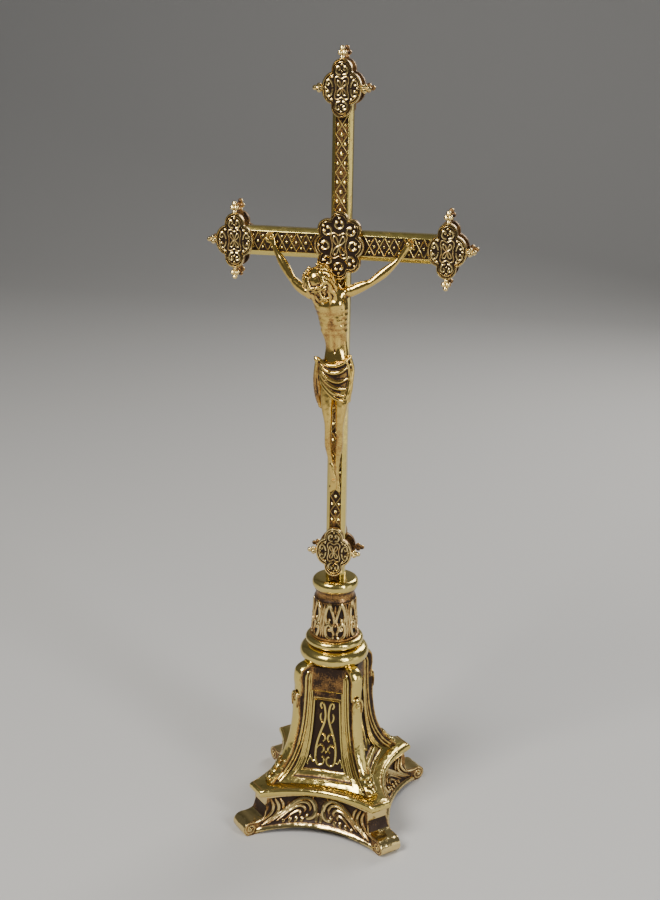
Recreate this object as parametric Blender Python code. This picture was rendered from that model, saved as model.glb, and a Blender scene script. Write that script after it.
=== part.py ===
"""A standing altar crucifix in cast and turned brass.

Frame: origin on the floor at the centre of the footprint, +Z up, the front faces -Y. Metres.
A central rod clamps the turned pieces and the cross to the hollow pedestal. The pieces above
the torus ring turn as one about the rod, held by the friction of the clamp.
"""
import math

import bmesh
import bpy
from mathutils import Matrix, Vector

# Clearances
GAP = 0.0003  # between faces that rest on each other
BORE_CLEARANCE = 0.0003  # radial, around every pin, screw, rod and spigot

# Foot apron: a four-sided skirt on four scroll feet
APRON_HEIGHT = 0.0206
APRON_WALL = 0.0032
APRON_INSET = 0.0032  # behind the plate's nose, at the top
APRON_FLARE = 0.0055  # outward, from top to bottom
APRON_ARCH = 0.0030  # rise of the lower edge at mid side
FLANGE_DEPTH = 0.0030
FLANGE_WIDTH = 0.0090
FOOT_WIDTH = 0.0120
FOOT_ROLL = 0.0041  # radius of a foot's roll
FOOT_OVERHANG = 0.0058  # of the roll's centre beyond the plate's cut corner
LEG_SETBACK = 0.0073  # of a leg's back behind the plate's cut corner

# Pedestal: a moulded plate under a flared four-sided body
PLATE_SIDE = 0.0382  # from the axis to a corner of a long side
PLATE_CORNER_SHARE = 0.788  # half the length of a long side, as a share of PLATE_SIDE
PLATE_SAGITTA = 0.0082  # how far a long side curves in
PLATE_THICKNESS = 0.0042
PLATE_NOSE = 0.0012
PLATE_LEDGE = 0.0005  # between the foot of the body and the plate's edge at mid side
BODY_HEIGHT = 0.0636  # from the plate's top to the top of the body
BODY_TOP = 0.0115  # the flare's limits: see flare()
BODY_FALL = 0.0078
BODY_WALL = 0.0030
BODY_ROOF = 0.0040
PILASTER_TOP = 0.0175
PILASTER_SETBACK = 0.0078  # of the flare's limit behind the plate's cut corner
PILASTER_FALL = 0.0145
PILASTER_WIDTH = 0.0072
PILASTER_CURL = 0.0170  # height of the curl below the top of the body
PANEL_LOW = 0.0060  # above the plate
PANEL_HIGH = 0.0460
PANEL_HALF_LOW = 0.0113
PANEL_HALF_HIGH = 0.0064
PANEL_DEPTH = 0.0010

# Turned pieces
TORUS_RADIUS = 0.0182
TORUS_HEIGHT = 0.0088
RING_RADIUS = 0.0153
RING_HEIGHT = 0.0050
SLEEVE_FOOT_RADIUS = 0.0130
SLEEVE_HEAD_RADIUS = 0.0115
SLEEVE_HEIGHT = 0.0206
SLEEVE_WALL = 0.0014  # behind the relief, at the head
SLEEVE_RELIEF = 0.0013
COLLAR_RADIUS = 0.0121
COLLAR_NECK = 0.0101
COLLAR_HEIGHT = 0.0110
SPIGOT_HEIGHT = 0.0016
TORUS_SPIGOT = 0.0060  # radius, into the pedestal's roof
RING_SPIGOT = 0.0100  # radius, the register that the upper pieces turn on
SOCKET_DEPTH = 0.0024  # of the collar's socket for the upright

# Cross
CROSS_RISE = 0.2492  # top end of the upright above the collar
ARM_DROP = 0.0760  # centre of the crossbar below the top end of the upright
ARM_SPAN = 0.1120  # length of the crossbar
BAR_DEPTH = 0.0070
UPRIGHT_WIDTH = 0.0098
CROSSBAR_WIDTH = 0.0140
BAR_CHAMFER = 0.0020
BAR_RIM = 0.0005
BAND_DEPTH = 0.0006

# Medallions: plates with a finial of three beads on each free side
MEDALLION_THICKNESS = 0.0024
MEDALLION_RIM = 0.0009
MEDALLION_RECESS = 0.0007
END_WIDTH = 0.0189
END_HEIGHT = 0.0266
CENTRE_WIDTH = 0.0244
CENTRE_HEIGHT = 0.0322
BEAD = 0.0013  # radius
FINIAL_STEM = 0.0008  # radius
FINIAL_ROOT = 0.0008  # how far the stem runs into the plate
FINIAL_RISE = 0.0058  # length above or below a plate
FINIAL_REACH = 0.0049  # length beside a plate
ARM_MEDALLION_INSET = 0.0040  # of its centre from the end of the arm
TOP_MEDALLION_INSET = 0.0033  # of its centre from the top end of the upright
LOW_MEDALLION_RISE = 0.0155  # of its centre above the collar
BOSS_RADIUS = 0.0022
BOSS_LENGTH = 0.0040
MEDALLION_SCREW = 0.0010  # radius
MEDALLION_SCREW_HEAD = 0.0021
MEDALLION_SCREW_HEAD_HEIGHT = 0.0010
WASHER_THICKNESS = 0.0006

# Clamp
ROD = 0.0020  # radius
ROD_ENGAGEMENT = 0.0120  # in the foot of the upright
NUT_ACROSS_FLATS = 0.0070
NUT_HEIGHT = 0.0032
CLAMP_WASHER = 0.0058
CLAMP_WASHER_THICKNESS = 0.0010
ROD_TAIL = 0.0030  # below the nut

# Apron screws
APRON_SCREW = 0.0014
APRON_SCREW_HEAD = 0.0026
APRON_SCREW_HEAD_HEIGHT = 0.0016
APRON_SCREW_SETBACK = 0.0121  # behind the plate's cut corner
APRON_SCREW_ENGAGEMENT = 0.0042

# Nails
NAIL = 0.0006
NAIL_HEAD = 0.0014
NAIL_HEAD_HEIGHT = 0.0008
NAIL_DEPTH = 0.0040  # into the bar
HAND_INSET = 0.0187  # of a hand's nail from the centre of the arm's medallion
HAND_RISE = 0.0025  # of a hand's nail above the centre of the crossbar
FEET_RISE = 0.0397  # of the feet's nail above the centre of the low medallion
HAND_THICKNESS = 0.0022
FEET_THICKNESS = 0.0046

ROUND_STEPS = 26
FINE_STEPS = 14
SIDE_STEPS = 6
CORPUS_GRAIN = 0.0008
CORPUS_SHARE = 0.10
HULL_SCALE = 1000  # a hull this small is found more surely when it is enlarged

# Sizes that follow from those above
PLATE_CORNER = PLATE_SIDE * PLATE_CORNER_SHARE
PLATE_DIAGONAL = (PLATE_SIDE + PLATE_CORNER) / math.sqrt(2)  # from the axis to a cut corner
FOOT_REACH = PLATE_DIAGONAL + FOOT_OVERHANG  # from the axis to the centre of a foot's roll
FOOT_BACK = PLATE_DIAGONAL - LEG_SETBACK
APRON_SCREW_CIRCLE = PLATE_DIAGONAL - APRON_SCREW_SETBACK
BODY_SPREAD = PLATE_SIDE - PLATE_SAGITTA - PLATE_LEDGE - BODY_TOP
PILASTER_SPREAD = PLATE_DIAGONAL - PILASTER_SETBACK - PILASTER_TOP
SLEEVE_BORE = SLEEVE_HEAD_RADIUS - SLEEVE_RELIEF - SLEEVE_WALL
PLATE_BASE = APRON_HEIGHT + GAP
PLATE_TOP = PLATE_BASE + PLATE_THICKNESS
BODY_END = PLATE_TOP + BODY_HEIGHT
TORUS_BASE = BODY_END + GAP
RING_BASE = TORUS_BASE + TORUS_HEIGHT + GAP
SLEEVE_BASE = RING_BASE + RING_HEIGHT + GAP
COLLAR_BASE = SLEEVE_BASE + SLEEVE_HEIGHT + GAP
COLLAR_TOP = COLLAR_BASE + COLLAR_HEIGHT
UPRIGHT_BASE = COLLAR_TOP - SOCKET_DEPTH + GAP
CROSS_HEIGHT = COLLAR_TOP + CROSS_RISE
ARM_HEIGHT = CROSS_HEIGHT - ARM_DROP
TOP_MEDALLION = CROSS_HEIGHT - TOP_MEDALLION_INSET
LOW_MEDALLION = COLLAR_TOP + LOW_MEDALLION_RISE
ARM_MEDALLION = ARM_SPAN / 2 - ARM_MEDALLION_INSET
HAND_SPREAD = ARM_MEDALLION - HAND_INSET
HAND_HEIGHT = ARM_HEIGHT + HAND_RISE
FEET_HEIGHT = LOW_MEDALLION + FEET_RISE
BAR_FRONT = -BAR_DEPTH / 2
ROD_BORE = ROD + BORE_CLEARANCE


def clear_scene():
    for thing in list(bpy.data.objects):
        bpy.data.objects.remove(thing, do_unlink=True)


def finish(name, colour, roughness):
    """A metal finish: a Principled material."""
    made = bpy.data.materials.new(name)
    made.use_nodes = True
    shader = made.node_tree.nodes["Principled BSDF"]
    shader.inputs["Base Color"].default_value = (*colour, 1.0)
    shader.inputs["Metallic"].default_value = 1.0
    shader.inputs["Roughness"].default_value = roughness
    return made


def piece(name, bm, material):
    """Closes a bmesh into a named object, smooth except at its sharp edges."""
    bmesh.ops.recalc_face_normals(bm, faces=bm.faces)
    mesh = bpy.data.meshes.new(name)
    bm.to_mesh(mesh)
    bm.free()
    mesh.shade_smooth()
    mesh.set_sharp_from_angle(angle=math.radians(35))
    if material:
        mesh.materials.append(material)
    made = bpy.data.objects.new(name, mesh)
    bpy.context.collection.objects.link(made)
    return made


def helper(made):
    """Marks a cutter or a shape that a union takes in."""
    made.hide_render = True
    made.display_type = "WIRE"
    return made


def combine(target, other, operation):
    modifier = target.modifiers.new(f"{operation.lower()} {other.name}", "BOOLEAN")
    modifier.operation = operation
    modifier.solver = "EXACT"
    modifier.object = helper(other)


def add_loops(bm, loops, closed=False):
    """Skins a row of equal loops of points. An open row is capped, a closed one makes a ring."""
    rows = [[bm.verts.new(point) for point in loop] for loop in loops]
    pairs = list(zip(rows, rows[1:]))
    if closed:
        pairs.append((rows[-1], rows[0]))
    for low, high in pairs:
        for i in range(len(low)):
            j = (i + 1) % len(low)
            bm.faces.new((low[i], low[j], high[j], high[i]))
    if not closed:
        bm.faces.new(rows[0][::-1])
        bm.faces.new(rows[-1])


def skinned(name, loops, material=None, closed=False):
    bm = bmesh.new()
    add_loops(bm, loops, closed)
    return piece(name, bm, material)


def circle(radius, z, steps):
    return [
        Vector((radius * math.cos(2 * math.pi * i / steps), radius * math.sin(2 * math.pi * i / steps), z))
        for i in range(steps)
    ]


def turned(name, profile, material=None, steps=ROUND_STEPS):
    """A ring turned about the axis from a closed profile of (radius, z)."""
    return skinned(name, [circle(r, z, steps) for r, z in profile], material, closed=True)


def peg(name, profile, material=None, steps=FINE_STEPS, place=None):
    """A solid turned about its own +Z from an open profile of (radius, z), then placed by a matrix."""
    place = place or Matrix()
    return skinned(name, [[place @ p for p in circle(r, z, steps)] for r, z in profile], material)


def rounded(middle, radius, half_height, z, sweep=80, steps=5):
    """Points of a half-round moulding: from (middle, low) out to radius and back at the top."""
    reach = radius - middle
    points = []
    for i in range(steps + 1):
        angle = math.radians(-sweep + 2 * sweep * i / steps)
        points.append((middle + reach * math.cos(angle), z + half_height * math.sin(angle)))
    return points


def flare(z, top, spread, fall):
    """Half-size of a flared form at height z: wide on the plate, and near its top size soon above."""
    return top + spread / (1 + (z - PLATE_TOP) / fall)


def plan(side, corner, sagitta, z, arch=0.0):
    """A four-sided outline with hollow sides and cut corners. arch lifts the middle of each side."""
    points = []
    for quarter in range(4):
        turn = Matrix.Rotation(quarter * math.pi / 2, 3, "Z")
        for i in range(SIDE_STEPS + 1):
            share = 2 * i / SIDE_STEPS - 1
            bulge = 1 - share * share
            points.append(turn @ Vector((share * corner, -side + sagitta * bulge, z + arch * bulge)))
    return points


def diagonal_prism(name, profile, width, quarter):
    """A profile of (distance from the axis, z) in a corner's diagonal plane, given a width."""
    turn = Matrix.Rotation(math.radians(45 + 90 * quarter), 3, "Z")
    loops = [[turn @ Vector((r, side * width / 2, z)) for r, z in profile] for side in (-1, 1)]
    return skinned(name, loops)


def diagonal_place(quarter, radius, z):
    turn = Matrix.Rotation(math.radians(45 + 90 * quarter), 4, "Z")
    return turn @ Matrix.Translation((radius, 0, z))


def facing_front(x, y, z):
    """A matrix that puts a peg's own +Z along -Y, towards the front."""
    return Matrix.Translation((x, y, z)) @ Matrix.Rotation(math.pi / 2, 4, "X")


def facing_back(x, y, z):
    return Matrix.Translation((x, y, z)) @ Matrix.Rotation(-math.pi / 2, 4, "X")


# Foot apron


def apron_section(share, inset=0.0):
    """side, corner and sagitta of the skirt, from share 0 at its top to 1 at its lower edge."""
    side = PLATE_SIDE - APRON_INSET + APRON_FLARE * share**2 - inset
    corner = PLATE_CORNER - APRON_INSET * 0.9 + APRON_FLARE * 0.8 * share**2 - inset * 0.5
    return side, corner, PLATE_SAGITTA - 0.001 * share**2


def foot_profile():
    top = APRON_HEIGHT - FLANGE_DEPTH / 2
    leg = FOOT_BACK + APRON_WALL
    points = [(FOOT_BACK, top), (leg - 0.0004, top), (leg, APRON_HEIGHT * 0.55)]
    points.append((leg + 0.0014, FOOT_ROLL * 2.3))
    for i in range(8):
        angle = math.radians(120 - 30 * i)
        points.append((FOOT_REACH + FOOT_ROLL * math.cos(angle), FOOT_ROLL + FOOT_ROLL * math.sin(angle)))
    points.append((leg + 0.0010, 0.0))
    points.append((FOOT_BACK + 0.0008, FOOT_ROLL * 0.6))
    points.append((FOOT_BACK, FOOT_ROLL * 1.4))
    return points


def make_foot_apron(material):
    base = 0.0012
    loops = []
    for share in (0.0, 0.35, 0.7, 1.0):
        z = APRON_HEIGHT + (base - APRON_HEIGHT) * share
        loops.append(plan(*apron_section(share), z, APRON_ARCH * share))
    for share in (1.0, 0.6):
        z = APRON_HEIGHT + (base - APRON_HEIGHT) * share
        loops.append(plan(*apron_section(share, APRON_WALL), z, APRON_ARCH * share))
    under = APRON_HEIGHT - FLANGE_DEPTH
    loops.append(plan(*apron_section(0.2, APRON_WALL), under))
    side, corner, sagitta = apron_section(0.0, FLANGE_WIDTH)
    loops.append(plan(side, corner, sagitta, under))
    loops.append(plan(side, corner, sagitta, APRON_HEIGHT))
    apron = skinned("foot_apron", loops, material, closed=True)
    for quarter in range(4):
        combine(apron, diagonal_prism(f"foot guide {quarter}", foot_profile(), FOOT_WIDTH, quarter), "UNION")
    for quarter in range(4):
        radius = APRON_SCREW + BORE_CLEARANCE
        place = diagonal_place(quarter, APRON_SCREW_CIRCLE, 0)
        hole = [(radius, under - 0.001), (radius, APRON_HEIGHT + 0.001)]
        combine(apron, peg(f"apron hole {quarter}", hole, place=place), "DIFFERENCE")
    return apron


def make_apron_screws(material):
    head_top = APRON_HEIGHT - FLANGE_DEPTH - GAP
    tip = PLATE_BASE + APRON_SCREW_ENGAGEMENT
    for quarter in range(4):
        profile = [
            (APRON_SCREW_HEAD, head_top - APRON_SCREW_HEAD_HEIGHT),
            (APRON_SCREW_HEAD, head_top),
            (APRON_SCREW, head_top),
            (APRON_SCREW, tip),
        ]
        place = diagonal_place(quarter, APRON_SCREW_CIRCLE, 0)
        peg(f"apron_screw_{quarter + 1}", profile, material, place=place)


# Pedestal


def body_section(z, inset=0.0):
    half = flare(z, BODY_TOP, BODY_SPREAD, BODY_FALL)
    sagitta = 0.0050 / (1 + (z - PLATE_TOP) / 0.003)
    return half - inset, half * 0.89 - inset * 0.8, sagitta


def pilaster_profile():
    """Rounded shoulder, a curl part way down, then a strap that flares out to a leaf on the plate."""
    curl = BODY_END - PILASTER_CURL
    points = [(BODY_TOP, BODY_END), (BODY_TOP + 0.0055, BODY_END)]
    ridge_top = flare(BODY_END, PILASTER_TOP, PILASTER_SPREAD, PILASTER_FALL)
    points += [(ridge_top - 0.0010, BODY_END - 0.0012), (ridge_top, BODY_END - 0.0040)]
    points += [(flare(curl, PILASTER_TOP, PILASTER_SPREAD, PILASTER_FALL) - 0.0012, curl + 0.0036)]
    points += [(flare(curl, PILASTER_TOP, PILASTER_SPREAD, PILASTER_FALL) + 0.0008, curl + 0.0010)]
    strap_steps = 8
    for i in range(strap_steps + 1):
        z = curl - 0.0020 + (PLATE_TOP + 0.0012 - curl + 0.0020) * i / strap_steps
        points.append((flare(z, PILASTER_TOP, PILASTER_SPREAD, PILASTER_FALL), z))
    reach = points[-1][0]
    points += [(reach + 0.0006, PLATE_TOP - 0.0010), (reach - 0.0080, PLATE_TOP - 0.0010)]
    for i in range(1, 5):
        z = PLATE_TOP + BODY_HEIGHT * (i / 5) ** 1.8
        inner = flare(z, BODY_TOP, BODY_SPREAD, BODY_FALL) - BODY_WALL * 0.3
        points.append((inner * 1.18, z))
    return points


def panel_cutter(quarter):
    """Follows the flared face at a constant depth, between the panel's foot and head."""
    turn = Matrix.Rotation(quarter * math.pi / 2, 3, "Z")
    loops = []
    steps = 6
    for i in range(steps + 1):
        share = (i / steps) ** 1.5
        z = PLATE_TOP + PANEL_LOW + (PANEL_HIGH - PANEL_LOW) * share
        half = PANEL_HALF_LOW + (PANEL_HALF_HIGH - PANEL_HALF_LOW) * share
        side, _, sagitta = body_section(z)
        floor = -(side - sagitta - PANEL_DEPTH)
        corners = ((-half, floor - 0.02), (half, floor - 0.02), (half, floor), (-half, floor))
        loops.append([turn @ Vector((x, y, z)) for x, y in corners])
    return skinned(f"panel cutter {quarter}", loops)


def make_pedestal(material):
    nose = PLATE_NOSE
    outer = [
        plan(PLATE_SIDE - nose, PLATE_CORNER - nose * 0.4, PLATE_SAGITTA, PLATE_BASE),
        plan(PLATE_SIDE, PLATE_CORNER, PLATE_SAGITTA, PLATE_BASE + nose),
        plan(PLATE_SIDE, PLATE_CORNER, PLATE_SAGITTA, PLATE_TOP - nose * 1.2),
        plan(PLATE_SIDE - nose, PLATE_CORNER - nose * 0.4, PLATE_SAGITTA, PLATE_TOP),
    ]
    steps = 9
    heights = [PLATE_TOP + 0.0003 + (BODY_HEIGHT - 0.0003) * (i / steps) ** 1.7 for i in range(steps + 1)]
    outer += [plan(*body_section(z), z) for z in heights]
    roof = BODY_END - BODY_ROOF
    inner_heights = [z for z in heights if z < roof - 0.004] + [roof]
    inner = [plan(*body_section(z, BODY_WALL), z) for z in reversed(inner_heights)]
    inner.append(plan(*body_section(PLATE_TOP, BODY_WALL), PLATE_BASE))
    pedestal = skinned("pedestal", inner + outer, material)
    for quarter in range(4):
        guide = diagonal_prism(f"pilaster guide {quarter}", pilaster_profile(), PILASTER_WIDTH, quarter)
        combine(pedestal, guide, "UNION")
    for quarter in range(4):
        combine(pedestal, panel_cutter(quarter), "DIFFERENCE")
    bore = TORUS_SPIGOT + BORE_CLEARANCE
    roof_hole = [(bore, BODY_END - SPIGOT_HEIGHT - GAP), (bore, BODY_END + 0.001)]
    combine(pedestal, peg("roof register", roof_hole, steps=ROUND_STEPS), "DIFFERENCE")
    rod_hole = [(ROD_BORE, roof - 0.001), (ROD_BORE, BODY_END + 0.001)]
    combine(pedestal, peg("roof bore", rod_hole), "DIFFERENCE")
    for quarter in range(4):
        radius = APRON_SCREW + BORE_CLEARANCE
        top = PLATE_BASE + APRON_SCREW_ENGAGEMENT + GAP
        hole = [(radius, PLATE_BASE - 0.001), (radius, top)]
        place = diagonal_place(quarter, APRON_SCREW_CIRCLE, 0)
        combine(pedestal, peg(f"plate hole {quarter}", hole, place=place), "DIFFERENCE")
    return pedestal


# Turned stack


def make_torus_ring(material):
    half = TORUS_HEIGHT / 2
    middle = TORUS_RADIUS - half
    top = TORUS_BASE + TORUS_HEIGHT
    profile = [(ROD_BORE, TORUS_BASE - SPIGOT_HEIGHT), (TORUS_SPIGOT, TORUS_BASE - SPIGOT_HEIGHT)]
    profile.append((TORUS_SPIGOT, TORUS_BASE))
    profile += rounded(middle, TORUS_RADIUS, half, TORUS_BASE + half, sweep=85, steps=7)
    profile += [(RING_SPIGOT, top), (RING_SPIGOT, top + SPIGOT_HEIGHT), (ROD_BORE, top + SPIGOT_HEIGHT)]
    return turned("torus_ring", profile, material)


def make_sleeve_base_ring(material):
    half = RING_HEIGHT / 2
    top = RING_BASE + RING_HEIGHT
    register = RING_SPIGOT + BORE_CLEARANCE
    recess = RING_BASE + SPIGOT_HEIGHT + GAP
    profile = [(ROD_BORE, recess), (register, recess), (register, RING_BASE)]
    profile += rounded(RING_RADIUS - half, RING_RADIUS, half, RING_BASE + half, sweep=80, steps=6)
    spigot = SLEEVE_BORE - BORE_CLEARANCE
    profile += [(spigot, top), (spigot, top + SPIGOT_HEIGHT), (ROD_BORE, top + SPIGOT_HEIGHT)]
    return turned("sleeve_base_ring", profile, material)


def make_filigree_sleeve(material):
    low = SLEEVE_BASE
    high = SLEEVE_BASE + SLEEVE_HEIGHT
    edge = 0.0012
    core = SLEEVE_RELIEF
    profile = [
        (SLEEVE_BORE, low),
        (SLEEVE_FOOT_RADIUS, low),
        (SLEEVE_FOOT_RADIUS, low + edge),
        (SLEEVE_FOOT_RADIUS - core, low + edge),
        (SLEEVE_HEAD_RADIUS - core, high - edge),
        (SLEEVE_HEAD_RADIUS, high - edge),
        (SLEEVE_HEAD_RADIUS, high),
        (SLEEVE_BORE, high),
    ]
    sleeve = turned("filigree_sleeve", profile, material)
    leaf = 0.0021
    bottom = SLEEVE_FOOT_RADIUS - core - 0.0004
    top = SLEEVE_HEAD_RADIUS - core - 0.0004
    tilt = [(bottom, low + edge / 2), (top, high - edge / 2)]
    for i in range(8):
        turn = Matrix.Rotation(math.radians(45 * i + 22.5), 3, "Z")
        loops = []
        for radius, z in tilt:
            outer = radius + core + 0.0002
            corners = ((radius, -leaf), (outer, -leaf / 2), (outer, leaf / 2), (radius, leaf))
            loops.append([turn @ Vector((x, y, z)) for x, y in corners])
        combine(sleeve, skinned(f"leaf guide {i}", loops), "UNION")
    return sleeve


def make_collar(material):
    spigot = SLEEVE_BORE - BORE_CLEARANCE
    lip = COLLAR_NECK + 0.0008
    disc = COLLAR_HEIGHT * 0.28
    profile = [(ROD_BORE, COLLAR_BASE - SPIGOT_HEIGHT), (spigot, COLLAR_BASE - SPIGOT_HEIGHT)]
    profile += [(spigot, COLLAR_BASE), (lip, COLLAR_BASE), (lip, COLLAR_BASE + 0.0008)]
    profile += [(COLLAR_NECK, COLLAR_BASE + COLLAR_HEIGHT * 0.25)]
    profile += [(COLLAR_NECK + 0.0005, COLLAR_BASE + COLLAR_HEIGHT * 0.45)]
    profile += rounded(COLLAR_RADIUS - disc, COLLAR_RADIUS, disc, COLLAR_TOP - disc * 1.05, sweep=70)
    profile += [(COLLAR_RADIUS - disc, COLLAR_TOP), (ROD_BORE, COLLAR_TOP)]
    collar = turned("collar", profile, material)
    width = UPRIGHT_WIDTH / 2 + BORE_CLEARANCE
    depth = BAR_DEPTH / 2 + BORE_CLEARANCE
    corners = ((-width, -depth), (width, -depth), (width, depth), (-width, depth))
    loops = [[Vector((x, y, z)) for x, y in corners] for z in (COLLAR_TOP - SOCKET_DEPTH, COLLAR_TOP + 0.001)]
    combine(collar, skinned("collar socket", loops), "DIFFERENCE")
    return collar


# Cross


def bar_outline(width):
    """Section of a bar, (across, depth): hollowed band between fine rims, chamfers and plain sides."""
    half = width / 2
    deep = BAR_DEPTH / 2
    rim = half - BAR_CHAMFER
    inner = rim - BAR_RIM
    front = [(-half, BAR_CHAMFER - deep), (-rim, -deep), (-inner, -deep), (-inner, BAND_DEPTH - deep)]
    front += [(inner, BAND_DEPTH - deep), (inner, -deep), (rim, -deep), (half, BAR_CHAMFER - deep)]
    return front + [(x, -y) for x, y in reversed(front)]


def box(name, low, high):
    corners = ((low[0], low[1]), (high[0], low[1]), (high[0], high[1]), (low[0], high[1]))
    return skinned(name, [[Vector((x, y, z)) for x, y in corners] for z in (low[2], high[2])])


def cross_hole(target, x, z, radius, start, end, name):
    """A hole along Y from start to end, counted from front to back."""
    hole = [(radius, 0), (radius, end - start)]
    combine(target, peg(name, hole, place=facing_back(x, start, z)), "DIFFERENCE")


def make_cross_upright(material):
    outline = bar_outline(UPRIGHT_WIDTH)
    loops = [[Vector((x, y, z)) for x, y in outline] for z in (UPRIGHT_BASE, CROSS_HEIGHT)]
    upright = skinned("cross_upright", loops, material)
    half = CROSSBAR_WIDTH / 2 + BORE_CLEARANCE
    low = (-UPRIGHT_WIDTH, GAP / 2 - BAR_DEPTH, ARM_HEIGHT - half)
    notch = box("upright notch", low, (UPRIGHT_WIDTH, GAP / 2, ARM_HEIGHT + half))
    combine(upright, notch, "DIFFERENCE")
    bore = BOSS_RADIUS + BORE_CLEARANCE
    for z, label in ((TOP_MEDALLION, "top"), (LOW_MEDALLION, "low"), (ARM_HEIGHT, "centre")):
        cross_hole(upright, 0, z, bore, -BAR_DEPTH, BAR_DEPTH, f"upright hole {label}")
    nail = NAIL + BORE_CLEARANCE
    cross_hole(upright, 0, FEET_HEIGHT, nail, -BAR_DEPTH, BAR_FRONT + NAIL_DEPTH + GAP, "feet nail hole")
    thread = [(ROD_BORE, UPRIGHT_BASE - 0.001), (ROD_BORE, UPRIGHT_BASE + ROD_ENGAGEMENT - 0.0005)]
    combine(upright, peg("rod hole", thread), "DIFFERENCE")
    return upright


def make_crossbar(material):
    outline = bar_outline(CROSSBAR_WIDTH)
    loops = [[Vector((x, y, ARM_HEIGHT + u)) for u, y in outline] for x in (-ARM_SPAN / 2, ARM_SPAN / 2)]
    crossbar = skinned("crossbar", loops, material)
    half = UPRIGHT_WIDTH / 2 + BORE_CLEARANCE
    low = (-half, -GAP / 2, ARM_HEIGHT - CROSSBAR_WIDTH)
    notch = box("crossbar notch", low, (half, BAR_DEPTH, ARM_HEIGHT + CROSSBAR_WIDTH))
    combine(crossbar, notch, "DIFFERENCE")
    bore = BOSS_RADIUS + BORE_CLEARANCE
    for x in (-ARM_MEDALLION, 0, ARM_MEDALLION):
        cross_hole(crossbar, x, ARM_HEIGHT, bore, -BAR_DEPTH, BAR_DEPTH, f"crossbar hole {x:.3f}")
    nail = NAIL + BORE_CLEARANCE
    for x in (-HAND_SPREAD, HAND_SPREAD):
        end = BAR_FRONT + NAIL_DEPTH + GAP
        cross_hole(crossbar, x, HAND_HEIGHT, nail, -BAR_DEPTH, end, f"hand nail hole {x:.3f}")
    return crossbar


# Medallions


def lobed(width, height, lobes, inset=0.0):
    """A foil outline: lobes meet in cusps on an oval. Points are (x, z) about the centre."""
    points = []
    steps = 4 * lobes
    dip = 0.24 if lobes == 4 else 0.10
    for i in range(2 * steps):
        angle = math.pi * i / steps
        wave = abs(math.cos(lobes * angle / 2))
        reach = 1 - dip * (1 - wave) ** 1.5
        across = (width / 2 - inset) * reach
        up = (height / 2 - inset) * reach
        points.append((across * math.cos(angle), up * math.sin(angle)))
    return points


def medallion_plate(name, x, z, width, height, lobes, side, material):
    """The plate, its rim proud of a hollowed field. side is -1 at the front of the bar, 1 behind."""
    back = side * (BAR_DEPTH / 2 + GAP)
    face = back + side * MEDALLION_THICKNESS
    floor = face - side * MEDALLION_RECESS
    rows = ((0.0, back), (0.0, face), (MEDALLION_RIM, face), (MEDALLION_RIM + 0.0002, floor))
    loops = []
    for inset, y in rows:
        outline = lobed(width, height, lobes, inset)
        loops.append([Vector((x + u, y, z + v)) for u, v in outline])
    return skinned(name, loops, material)


def add_finial(plate, x, z, direction, length, y):
    """A short stem and three beads: two side by side, and one beyond them."""
    along = Vector((direction[0], 0, direction[1]))
    across = Vector((direction[1], 0, -direction[0]))
    base = Vector((x, y, z))
    tip = length - BEAD
    pair = tip - BEAD * 1.5
    turn = along.to_track_quat("Z", "Y").to_matrix().to_4x4()
    stem = [(FINIAL_STEM, -FINIAL_ROOT), (FINIAL_STEM, tip)]
    place = Matrix.Translation(base) @ turn
    combine(plate, peg(f"{plate.name} stem {direction}", stem, steps=6, place=place), "UNION")
    spots = [base + along * pair + across * BEAD * 0.9, base + along * pair - across * BEAD * 0.9]
    spots.append(base + along * tip)
    for number, spot in enumerate(spots):
        bm = bmesh.new()
        place = Matrix.Translation(spot)
        bmesh.ops.create_uvsphere(bm, u_segments=6, v_segments=3, radius=BEAD, matrix=place)
        combine(plate, piece(f"{plate.name} bead {direction} {number}", bm, None), "UNION")


def make_end_medallion(name, x, z, free_sides, side, material):
    plate = medallion_plate(name, x, z, END_WIDTH, END_HEIGHT, 4, side, material)
    middle = side * (BAR_DEPTH / 2 + GAP + MEDALLION_THICKNESS / 2)
    for direction in free_sides:
        edge_x = x + direction[0] * END_WIDTH / 2
        edge_z = z + direction[1] * END_HEIGHT / 2
        length = FINIAL_RISE if direction[1] else FINIAL_REACH
        add_finial(plate, edge_x, edge_z, direction, length, middle)
    return plate


def add_boss(plate, x, z):
    """The round boss on a front plate's back, drilled for its screw."""
    back = -BAR_DEPTH / 2 - GAP
    boss = [(BOSS_RADIUS, -0.0008), (BOSS_RADIUS, BOSS_LENGTH)]
    combine(plate, peg(f"{plate.name} boss", boss, place=facing_back(x, back, z)), "UNION")
    radius = MEDALLION_SCREW + BORE_CLEARANCE
    hole = [(radius, 0.0006), (radius, BOSS_LENGTH + 0.001)]
    combine(plate, peg(f"{plate.name} thread", hole, place=facing_back(x, back, z)), "DIFFERENCE")


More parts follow.
